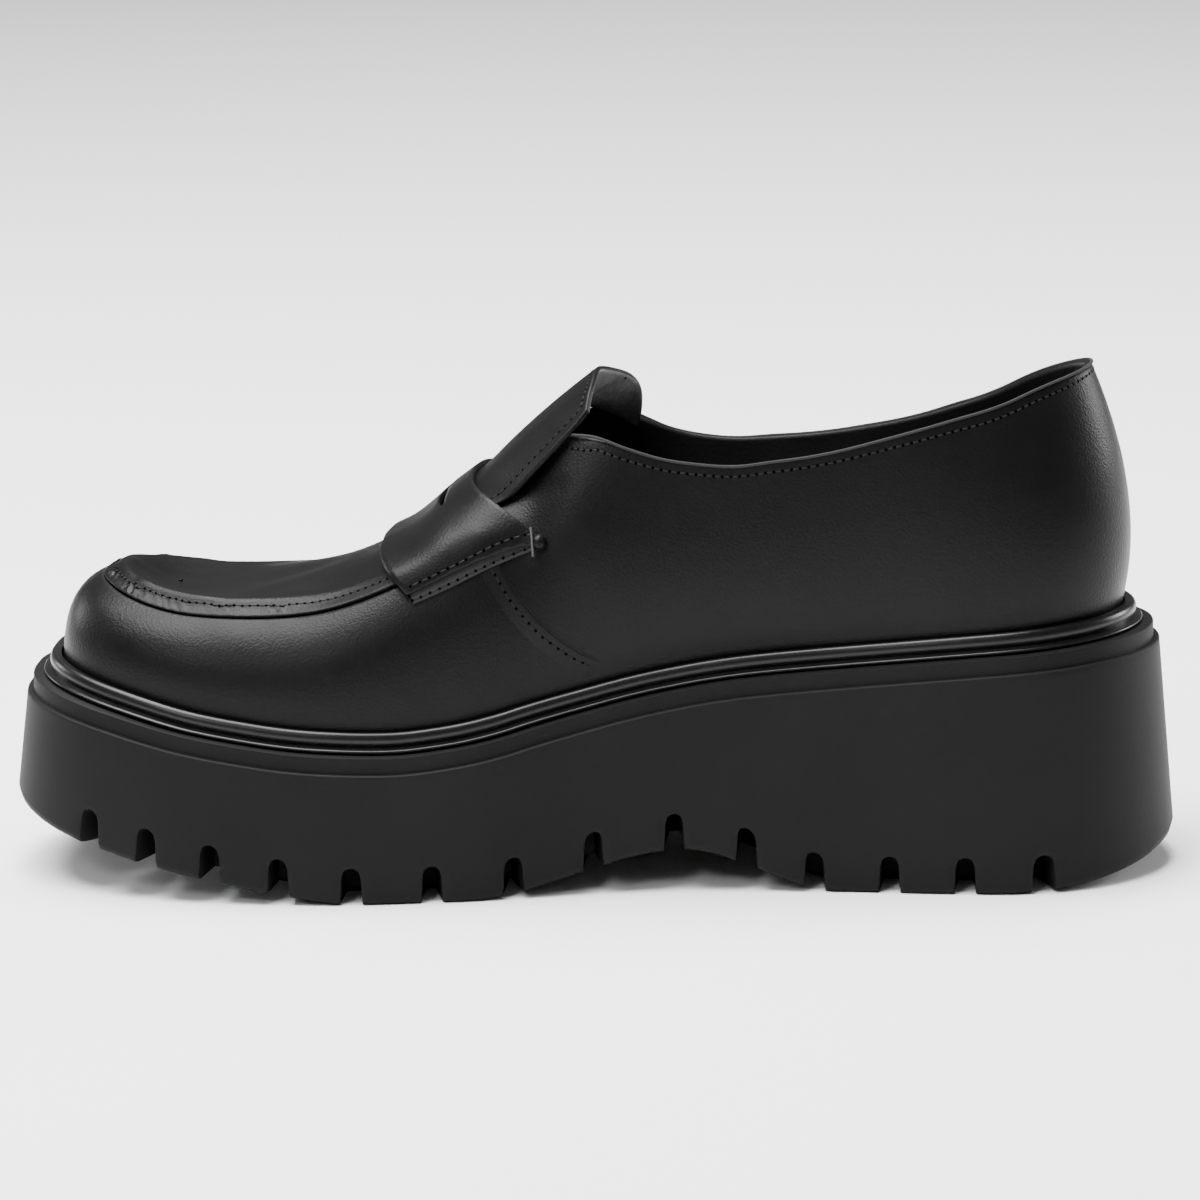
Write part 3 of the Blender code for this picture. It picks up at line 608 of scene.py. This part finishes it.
# The stitches run inside the seam, from the strap round the toe and back to the strap
APRON_STITCH_INSET = 2.1 * MM
APRON_STITCH_STEP = 1.9 * MM
APRON_STITCH_END = -44 * MM
APRON_STITCH_RISE = Vector((0, 0, 3)) * MM
APRON_STITCH_EVERY = 4
TOE_CENTRE = -85 * MM
start = next(
    i for i, point in enumerate(border_route) if border_route[i - 1].x > APRON_STITCH_END > point.x
)
seam_line = [point for point in border_route[start:] + border_route[:start] if point.x < APRON_STITCH_END]
inset = []
for point in seam_line[::APRON_STITCH_EVERY]:
    inward = Vector((max(point.x, TOE_CENTRE), 0, point.z)) - point
    inset.append(point + inward.normalized() * APRON_STITCH_INSET + APRON_STITCH_RISE)
row = stitches(apron_skin, inset, APRON_STITCH_STEP)
piece(row, "apron_stitches", None, thread, painted_hole_shade)

# Tongue
# A leather flap that rises out from under the strap and curls over the opening. It is lined with a
# wrinkled leather that shows under its raised end, greyish and made paler with painted sheen and light.
TONGUE_EDGE_INSET = 1.9 * MM
TONGUE_LINE_STEP = 1.5 * MM
TONGUE_STITCH_STEP = 2.1 * MM
# How the soft flap sags at its near edge, and how its far lip hangs into the opening
NEAR_EDGE_SAG = Vector((1.3, -0.8, -1.3)) * MM
FAR_LIP_HANG = Vector((0.5, 1.5, -4.5)) * MM
# Where each grows from nothing to full: across, up or along the shoe, in millimetres
SAG_ACROSS = (-10, -24)
SAG_LOW = (88, 96)
SAG_HIGH = (122, 112)
HANG_ACROSS = (10, 26)
HANG_ALONG = (-12, 4)
OVER_STRAP = Vector((-60, 0, 140)) * MM


def tongue_lining_and_sheen_finish():
    """Wrinkled lining leather, a little shiny: its pale base colour is partly its own grey and partly
    painted sheen and light where the lamps leave it in shade.
    """
    lining = Finish("tongue_lining_painted_sheen", Roughness=0.45, IOR=1.3, Specular_IOR_Level=0.6)
    # The pale greys are partly painted sheen and light: the lining sits in shade under the flap.
    lining.feed("Base Color", lining.mix(lining.noise(150, 3), grey(0.12), grey(0.50)))
    lining.relief(lining.noise(260, 2), 0.8 * MM)
    return lining


tongue_cage = merged_copy("tongue")
outer_face = patch(tongue_cage, OVER_STRAP)
flap_line = route(rims(outer_face)[0], TONGUE_LINE_STEP, closed=True)
outer_verts = {vert for face in outer_face for vert in face.verts}
for face in tongue_cage.faces:
    face.material_index = 0 if any(vert in outer_verts for vert in face.verts) else 1
tongue_body = rounded(creased(tongue_cage, CREASE), 2)
for vert in tongue_body.verts:
    x, y, z = vert.co / MM
    near = between(y, *SAG_ACROSS) * between(z, *SAG_LOW) * between(z, *SAG_HIGH)
    far = between(y, *HANG_ACROSS) * between(x, *HANG_ALONG)
    vert.co += NEAR_EDGE_SAG * near + FAR_LIP_HANG * far
tongue_skin = BVHTree.FromBMesh(tongue_body)
tongue = piece(tongue_body, "tongue_flap", "upper_leather", leather, tongue_lining_and_sheen_finish())
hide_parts("tongue")
flap_middle = sum(flap_line, Vector()) / len(flap_line)
inset = [point + (flap_middle - point).normalized() * TONGUE_EDGE_INSET for point in flap_line]
inset = [tongue_skin.find_nearest(point)[0] for point in inset]
row = stitches(tongue_skin, inset + inset[:1], TONGUE_STITCH_STEP)
piece(row, "tongue_stitches", None, thread, painted_hole_shade)

# Strap
# The leather saddle strap across the instep, with an eye-shaped slot, sewn down at both ends. Its raw
# ends are left as a narrow hem below a row of stitches, and the hem has a row of its own. A bar tack
# and the small tucked-in tip of the strap finish the back of each hem.
HEM_LINE = (
    # place along the shoe and height, in millimetres
    (-42.2, 72.4),
    (-35.5, 75.2),
    (-28.0, 78.6),
    (-20.5, 81.8),
    (-13.0, 84.9),
)
HEM = (
    # reach up from the line and lift off the leather, in millimetres
    (-1.5, -0.20),
    (-1.5, 0.70),
    (-1.3, 0.95),
    (-0.8, 1.05),
    (1.0, 1.10),
    (2.6, 1.10),
    (2.8, -0.2),
)
HEM_STEP = 1.0 * MM
STRAP_STITCH_STEP = 2.5 * MM
# How far out and up from the hem's line the rows on the hem and on the strap are looked for
ROW_OUT = 3.0 * MM
HEM_ROW_RISE = 0.2 * MM
STRAP_ROW_RISE = 3.4 * MM
TACK_LINE = (
    # place along the shoe and height, in millimetres
    (-13.5, 88.0),
    (-13.2, 86.0),
    (-13.0, 83.8),
    (-12.8, 81.4),
)
TACK_RADIUS = 0.28 * MM
TACK_STEP = 0.5 * MM
TIP_PLACE = (-11.6, 84.4)
TIP_SIZE = Vector((1.9, 2.3, 2.0)) * MM
# How far out from the leather the hem's line, the bar tack and the middle of the tip stand
HEM_STAND = 2.9 * MM
TACK_STAND = 3.5 * MM
TIP_STAND = 1.6 * MM
# How far the strap's middle and its front edge settle onto the instep
CREST_SETTLE = 0.8 * MM
FRONT_SETTLE = Vector((1.8, 0, -1.0)) * MM
# Where these grow from nothing to full: up or along the shoe, in millimetres
CREST_UP = (84, 91)
FRONT_ALONG = (-34, -48)
FRONT_UP = (76, 85)
STRAP_CREASE = 0.75


def beside(place, way, stand):
    """The point that stands out from the leather at a place and height on one side."""
    return side_point(place, way) + Vector((0, way * stand, 0))


strap_body = rounded(creased(merged_copy("strap"), STRAP_CREASE), 2)
for vert in strap_body.verts:
    x, _, z = vert.co / MM
    front = between(x, *FRONT_ALONG) * between(z, *FRONT_UP)
    vert.co.z -= CREST_SETTLE * between(z, *CREST_UP)
    vert.co += FRONT_SETTLE * front
strap_skin = BVHTree.FromBMesh(strap_body)
strap = piece(strap_body, "saddle_strap", "upper_leather", leather)
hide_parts("strap")
tack_thread = Finish("tack_thread", Base_Color=grey(0.05), Roughness=0.5, Specular_IOR_Level=0.3)
for name, way in (("inner", -1), ("outer", 1)):
    line = [beside(place, way, HEM_STAND) for place in HEM_LINE]
    if way > 0:
        line.reverse()
    hem = laid(leather_skin, route(line, HEM_STEP), HEM)
    hem_skin = BVHTree.FromBMesh(hem)
    piece(hem, f"strap_hem_{name}", "upper_leather", raw_edge_and_fold_highlight)
    for part, skin, rise in (("hem", hem_skin, HEM_ROW_RISE), ("strap", strap_skin, STRAP_ROW_RISE)):
        near = [point + Vector((0, way * ROW_OUT, rise)) for point in line]
        row = stitches(skin, near, STRAP_STITCH_STEP)
        piece(row, f"{part}_stitches_{name}", None, thread, painted_hole_shade)
    tack = [beside(place, way, TACK_STAND) for place in TACK_LINE]
    piece(cord(route(tack, TACK_STEP), TACK_RADIUS), f"bar_tack_{name}", None, tack_thread)
    tip = bmesh.new()
    shaped = Matrix.Translation(beside(TIP_PLACE, way, TIP_STAND)) @ Matrix.Diagonal((*TIP_SIZE, 1))
    bmesh.ops.create_uvsphere(tip, u_segments=16, v_segments=10, radius=1, matrix=shaped)
    piece(tip, f"strap_tip_{name}", "upper_leather", leather)


# Lug sole
# One deep moulding of matte black rubber: a narrow stepped band under the bead, a tall flared wall,
# and square lugs round the tread's edge, parted by gaps with round tops.
def rubber_finish():
    """Matte black rubber with a fine dull grain."""
    rubber = Finish("matte_rubber", Roughness=0.58, IOR=1.15, Specular_IOR_Level=0.8)
    rubber.feed("Base Color", rubber.mix(rubber.noise(35, 4), grey(0.0045), grey(0.0075)))
    rubber.relief(rubber.noise(1600, 3), 0.05 * MM, 0.7)
    return rubber


BAND_HEIGHT = 4.0 * MM
STEP_OUT = 1.5 * MM
TOE_FLARE = 0.125
HEEL_FLARE = 0.087
SIDE_EDGE = 1.4 * MM
END_EDGE = 4.0 * MM
LUG_DEPTH = 8.9 * MM
LUG_GAP = 4.3 * MM
LUG_REACH = 13.0 * MM
LUG_DRAFT = 0.06
LUG_CORNER = 2.3 * MM
EDGE_SOFT = 0.45 * MM
CHANNEL_DEPTH = 3.0 * MM
CHANNEL_INSET = 20.0 * MM
# The inset is at most this share of the way to the middle line
MOST_INSET = 0.8
# The tread's lift off the floor at the toe, arch and heel, and where each starts and ends from toe
# (0) to heel (1)
TOE_SPRING = 17.2 * MM
TOE_SPRING_END = 0.300
TOE_SPRING_CURVE = 1.25
ARCH_RISE = 10.2 * MM
ARCH_START = 0.400
ARCH_TOP = 0.580
ARCH_END = 0.712
HEEL_SPRING = 5.8 * MM
HEEL_SPRING_START = 0.850
HEEL_SPRING_CURVE = 1.8
# The gaps: place from toe (0) to heel (1), how far in as a share of LUG_REACH, and whether a shallow
# channel runs on across the tread
LUG_GAPS = (
    (0.077, 1.0, False),
    (0.129, 1.0, False),
    (0.184, 1.0, True),
    (0.242, 1.0, True),
    (0.304, 1.0, True),
    (0.370, 1.0, True),
    (0.438, 1.0, True),
    (0.504, 1.0, False),
    (0.572, 2.2, False),
    (0.633, 2.2, False),
    (0.691, 1.0, True),
    (0.753, 1.0, True),
    (0.817, 1.0, True),
    (0.883, 1.0, False),
)


sole_low, sole_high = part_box("lug_sole")
sole_length = sole_high[0] - sole_low[0]


def tread_height(x):
    """The tread's height over the floor: toe spring, ball, arch, heel and heel spring."""
    place = min(max((x - sole_low[0]) / sole_length, 0.0), 1.0)
    if place < TOE_SPRING_END:
        return TOE_SPRING * (1 - place / TOE_SPRING_END) ** TOE_SPRING_CURVE
    if place < ARCH_TOP:
        return ARCH_RISE * between(place, ARCH_START, ARCH_TOP)
    if place < HEEL_SPRING_START:
        return ARCH_RISE * between(place, ARCH_END, ARCH_TOP)
    share = (place - HEEL_SPRING_START) / (1 - HEEL_SPRING_START)
    return HEEL_SPRING * share**HEEL_SPRING_CURVE


RING_STEP = 0.5 * MM
OVER_SOLE = Vector((0, 0, 200)) * MM
# Of the foremost points, the start is the one nearest the middle, weighed by this
MIDDLE_WEIGHT = 0.02
# Steps within which the ring has left its start toward one side
SIDE_PROBE = 40


def rim_ring():
    """The rim's top edge at half-millimetre steps from the toe, by the inner side first."""
    cage = merged_copy("lug_sole")
    line = rims(patch(cage, OVER_SOLE))[0]
    cage.free()
    ring = route(line, RING_STEP, closed=True)
    middle_y = sum(point.y for point in ring) / len(ring)
    start = min(
        range(len(ring)), key=lambda i: ring[i].x + abs(ring[i].y - middle_y) * MIDDLE_WEIGHT
    )
    ring = ring[start:] + ring[:start]
    if ring[SIDE_PROBE].y > ring[0].y:
        ring = [ring[0]] + ring[:0:-1]
    return ring


RING = rim_ring()
RING_TABLE = np.array([point[:] for point in RING + [RING[0]]])
RING_STEPS = np.arange(len(RING) + 1) * 1.0
RIM_FRONT = RING_TABLE[:, 0].min()
RIM_BACK = RING_TABLE[:, 0].max()
HEEL_STEP = int(RING_TABLE[:, 0].argmax())
OUTWARD_PROBE = 4


def rim_at(step):
    """The rim's point at a step along the ring, and its outward direction in plan."""
    step = step % len(RING)
    point, before, after = (
        Vector([np.interp((step + k) % len(RING), RING_STEPS, RING_TABLE[:, j]) for j in range(3)])
        for k in (0, -OUTWARD_PROBE, OUTWARD_PROBE)
    )
    ahead = after - before
    return point, Vector((ahead.y, -ahead.x, 0)).normalized()


def flare(x):
    """How fast the wall spreads downward at a place along the shoe."""
    share = (x - RIM_FRONT) / (RIM_BACK - RIM_FRONT)
    return TOE_FLARE + (HEEL_FLARE - TOE_FLARE) * share


def wall_foot(step):
    """Where the wall starts to round under: its point, outward direction, edge radius and rim."""
    rim, out = rim_at(step)
    edge = SIDE_EDGE + (END_EDGE - SIDE_EDGE) * out.x**4
    point = rim
    for _ in range(3):
        foot_z = tread_height(point.x) + edge
        point = rim + out * (STEP_OUT + flare(rim.x) * (rim.z - BAND_HEIGHT - foot_z))
    return Vector((point.x, point.y, foot_z)), out, edge, rim


def gap_step(place, inner):
    """The step along the ring where a gap has its middle."""
    x = sole_low[0] + place * sole_length
    side = range(HEEL_STEP) if inner else range(HEEL_STEP, len(RING))
    return min(side, key=lambda step: abs(wall_foot(step)[0].x - x))


# A soft edge passes its corner at this distance from it, and a gap's walls turn in over the fillet
SOFT_MIDDLE = EDGE_SOFT * 0.3
GAP_FILLET = 0.35 * MM
GAP_SHARES = (0.62, 0.32, 0.0)
TOE_COLUMNS = 16
LAND_COLUMNS = 6
HEEL_COLUMNS = 20


def side_columns(inner):
    """Columns down one side, toe to heel: step along the ring, offset in its gap, gap, depth class."""
    way = 1 if inner else -1
    end = HEEL_STEP if inner else len(RING) - HEEL_STEP
    half = LUG_GAP / 2
    offsets = [(half + EDGE_SOFT, 0), (half + SOFT_MIDDLE, 1), (half, 2), (half - GAP_FILLET, 3)]
    offsets += [(half * share, 3) for share in GAP_SHARES]
    offsets = [(-out, depth) for out, depth in offsets[:-1]] + offsets[::-1]
    columns = []
    last = 0.0
    for number, (place, _, _) in enumerate(LUG_GAPS):
        middle = gap_step(place, inner) * way % len(RING)
        first = middle + offsets[0][0] / RING_STEP
        count = LAND_COLUMNS if number else TOE_COLUMNS
        for k in range(0 if number == 0 else 1, count + 1):
            columns.append((last + (first - last) * k / (count + 1), 0.0, None, 0))
        for out, depth in offsets:
            columns.append((middle + out / RING_STEP, out, number, depth))
        last = middle + offsets[-1][0] / RING_STEP
    for k in range(1, HEEL_COLUMNS + 2):
        columns.append((last + (end - last) * k / (HEEL_COLUMNS + 1), 0.0, None, 0))
    return [(step * way, out, number, depth) for step, out, number, depth in columns]


WALL_SHARES = (0.0, 0.03, 0.2, 0.4, 0.6, 0.8, 0.97)
# Rows that turn into a gap: height over its roof and depth class
ROOF_ROWS = ((EDGE_SOFT, 0), (SOFT_MIDDLE, 1), (0.0, 2), (-GAP_FILLET, 3))
LUG_SHARES = (0.35, 0.62, 0.80, 0.92, 1.0)
EDGE_ANGLES = (30, 60, 90)
# How far in the first three depth classes lie. The last is a gap's full reach
CLASS_DEPTHS = (0.0, 0.15 * MM, 0.5 * MM)
TOP_SHARES = (1.0, 0.5, 0.12)
# Rows of the underside, from its edge to its middle: share of the way and share of a channel's depth
TREAD_ROWS = ((0.0, 0.0), (0.06, 1.0), (0.5, 1.0), (1.0, 1.0))


def spread_step(step, out, number, height, roof):
    """The step of a column at a height over the tread, where lugs have a draft and round corners."""
    way = 1 if step >= 0 else -1
    draft = LUG_DRAFT * max(roof - height, 0.0)
    corner = LUG_CORNER - math.sqrt(max(LUG_CORNER**2 - max(LUG_CORNER - height, 0.0) ** 2, 0.0))
    share = out / (LUG_GAP / 2 + EDGE_SOFT)
    if number is None:
        return step
    return step + way * share * (draft + corner) / RING_STEP


def sole_column(column, spine):
    """The points of one column of the sole: rim, band, wall, lug or gap, and underside."""
    step, out, number, depth = column
    foot, outward, edge, rim = wall_foot(step)
    half = LUG_GAP / 2
    bow = math.sqrt(max(1 - (min(abs(out), half) / half) ** 2, 0.0)) if number is not None else 0.0
    floor = foot.z - edge
    roof = LUG_DEPTH - half * (1 - bow)
    reach = LUG_REACH * (LUG_GAPS[number][1] if number is not None else 1.0)
    points = []
    for share in TOP_SHARES:
        flat = spine.lerp(Vector((rim.x, rim.y, 0)), 1 - share)
        points.append(Vector((flat.x, flat.y, rim.z)))
    band = (
        (-EDGE_SOFT, 0),
        (-SOFT_MIDDLE, SOFT_MIDDLE),
        (0, EDGE_SOFT),
        (0, BAND_HEIGHT - EDGE_SOFT),
        (SOFT_MIDDLE, BAND_HEIGHT),
        (STEP_OUT - EDGE_SOFT, BAND_HEIGHT),
        (STEP_OUT - SOFT_MIDDLE, BAND_HEIGHT + SOFT_MIDDLE),
    )
    for away, drop in band:
        points.append(rim + outward * away - Vector((0, 0, drop)))
    ledge_z = rim.z - BAND_HEIGHT - EDGE_SOFT
    wall_end = floor + roof + EDGE_SOFT

    def on_wall(height, kind):
        """A point of the outer wall, or of the gap behind it, at a height over the floor."""
        moved = spread_step(step, out, number, height - floor, roof)
        at, away, _, top = wall_foot(moved)
        across = STEP_OUT + flare(top.x) * (top.z - BAND_HEIGHT - height)
        inward = (CLASS_DEPTHS + (reach,))[kind]
        spot = top + away * (across - inward)
        return Vector((spot.x, spot.y, height + at.z - edge - floor if kind else height))

    for share in WALL_SHARES:
        points.append(on_wall(ledge_z + (wall_end - ledge_z) * share, 0))
    for over, row_depth in ROOF_ROWS:
        points.append(on_wall(floor + roof + over, min(depth, row_depth)))
    low = floor + roof + ROOF_ROWS[-1][0]
    for share in LUG_SHARES:
        points.append(on_wall(low + (floor + edge - low) * share, depth))
    base = points[-1]
    for angle in EDGE_ANGLES:
        turn = math.radians(angle)
        inward = outward * (edge * (1 - math.cos(turn)))
        points.append(Vector((base.x - inward.x, base.y - inward.y, base.z - edge * math.sin(turn))))
    runs_on = number is not None and LUG_GAPS[number][2]
    side = Vector((foot.x, foot.y, 0))
    inner = side.lerp(spine, min(CHANNEL_INSET / (side - spine).length, MOST_INSET))
    for share, lift in TREAD_ROWS:
        spot = inner.lerp(spine, share)
        raised = CHANNEL_DEPTH * lift if runs_on and depth == 3 else 0.0
        points.append(Vector((spot.x, spot.y, tread_height(spot.x) + raised)))
    return points


# The sole's middle line swings sideways toward the toe, and stops short of both ends. Where the tread
# is wider than WIDE_PART, it runs halfway between the two sides instead
AXIS_SWING = RING[0].y - RING[HEEL_STEP].y
SPINE_END = 38 * MM
WIDE_PART = 40 * MM


def sole_axis(x):
    """The middle line of the sole in plan."""
    share = min(max((x - sole_low[0]) / sole_length, 0.0), 1.0)
    return AXIS_SWING * (1 - share) ** 2


def make_sole():
    """The whole moulding as one closed skin, from the middle of its top to the middle of its tread."""
    inner, outer = side_columns(True), side_columns(False)
    spines = []
    for left, right in zip(inner, outer):
        a, b = wall_foot(left[0])[0], wall_foot(right[0])[0]
        x = min(max((a.x + b.x) / 2, sole_low[0] + SPINE_END), sole_high[0] - SPINE_END)
        y = (a.y + b.y) / 2 if abs(a.y - b.y) > WIDE_PART else sole_axis(x)
        spines.append(Vector((x, y, 0)))
    ring = [sole_column(column, spine) for column, spine in zip(inner, spines)]
    ring += [sole_column(column, spine) for column, spine in zip(outer[-2::-1], spines[-2::-1])]
    shape = sheet(ring)
    bmesh.ops.recalc_face_normals(shape, faces=shape.faces)
    return shape


SOLE_SHARP = 38
sole = piece(make_sole(), "lug_sole_moulding", "sole_rubber", rubber_finish(), sharp=SOLE_SHARP)
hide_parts("lug_sole")


# Welt
# A round bead of glossy rubber on a thin flange, moulded as one strip that runs all round the foot
# of the upper and is cemented to the rim of the sole.
def bead_finish():
    """Glossy black rubber."""
    bead = Finish("bead_rubber", IOR=1.3, Specular_IOR_Level=0.6)
    bead.feed("Base Color", bead.mix(bead.noise(80, 2), grey(0.002), grey(0.004)))
    bead.feed("Roughness", 0.26 + bead.noise(220, 2) * 0.12)
    return bead


FEATHER_INSET = 7.3 * MM
BEAD_HEIGHT = 5.1 * MM
BEAD_REACH = 3.1 * MM
FLANGE_REACH = 1.5 * MM
FLANGE_THICKNESS = 0.9 * MM
FLANGE_SOFT = 0.3 * MM
WELT_GAP = 0.3 * MM
BEAD_ANGLES = range(-50, 95, 12)


def welt_profile():
    """The strip's outline: reach from the rim's edge and height over the rim."""
    inner = -FEATHER_INSET + WELT_GAP
    outer = -FEATHER_INSET + BEAD_REACH
    half = (outer - inner) / 2
    low = WELT_GAP + FLANGE_THICKNESS
    lift = (BEAD_HEIGHT - low) / 2
    tip = outer + FLANGE_REACH
    outline = [(inner, WELT_GAP), (tip - FLANGE_SOFT, WELT_GAP), (tip, WELT_GAP + FLANGE_SOFT)]
    outline += [(tip, low - FLANGE_SOFT), (tip - FLANGE_SOFT, low), (outer + FLANGE_SOFT, low)]
    for angle in BEAD_ANGLES:
        bow = math.radians(angle)
        outline.append((inner + half * (1 + math.cos(bow)), low + lift * (1 + math.sin(bow))))
    return outline + [(inner, BEAD_HEIGHT - WELT_GAP), (inner, WELT_GAP)]


BEAD_EVERY = 3
BEAD_SHARP = 60
rows = []
for step in range(0, len(RING) + 1, BEAD_EVERY):
    rim, out = rim_at(min(step, len(RING)))
    rows.append([rim + out * reach + Vector((0, 0, height)) for reach, height in welt_profile()])
rows[-1] = rows[0]
strip = sheet(rows)
bmesh.ops.recalc_face_normals(strip, faces=strip.faces)
welt = piece(strip, "welt_bead", "welt_rubber", bead_finish(), sharp=BEAD_SHARP)
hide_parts("welt")


# Floor and lights
# A wide white floor under a pale sky. A large soft light hangs overhead, a larger and stronger one
# high at the back, and small weak ones stand at the front and toward the two ends.
FLOOR_SIZE = 40.0
FLOOR_WHITE = 0.9
WORLD_STRENGTH = 0.22
LIGHTS = (
    # name, position, size and power in watts
    ("overhead", (-0.40, -0.15, 1.5), 1.1, 84.0),
    ("front", (-0.9, -1.9, 1.5), 0.6, 18.0),
    ("toe", (-1.4, 0.7, 0.5), 0.5, 8.0),
    ("heel", (1.4, 0.7, 0.5), 0.5, 16.0),
    ("back", (0.0, 1.3, 3.4), 1.4, 170.0),
)

floor_mesh = bmesh.new()
bmesh.ops.create_grid(floor_mesh, x_segments=1, y_segments=1, size=FLOOR_SIZE / 2)
mesh = bpy.data.meshes.new("floor")
floor_mesh.to_mesh(mesh)
floor_mesh.free()
floor_finish = Finish(
    "floor_white", Base_Color=grey(FLOOR_WHITE), Roughness=0.9, Specular_IOR_Level=0.1
)
mesh.materials.append(floor_finish.material)
floor = bpy.data.objects.new("floor", mesh)
scene.collection.objects.link(floor)

world = bpy.data.worlds.new("studio")
world.use_nodes = True
background = world.node_tree.nodes["Background"]
background.inputs["Color"].default_value = grey(1.0)
background.inputs["Strength"].default_value = WORLD_STRENGTH
scene.world = world
for name, position, size, power in LIGHTS:
    lamp_data = bpy.data.lights.new(name, "AREA")
    lamp_data.shape = "SQUARE"
    lamp_data.size = size
    lamp_data.energy = power
    lamp = bpy.data.objects.new(name, lamp_data)
    scene.collection.objects.link(lamp)
    lamp.location = position
    lamp.rotation_mode = "QUATERNION"
    lamp.rotation_quaternion = (CAMERA_AIM - lamp.location).to_track_quat("-Z", "Y")
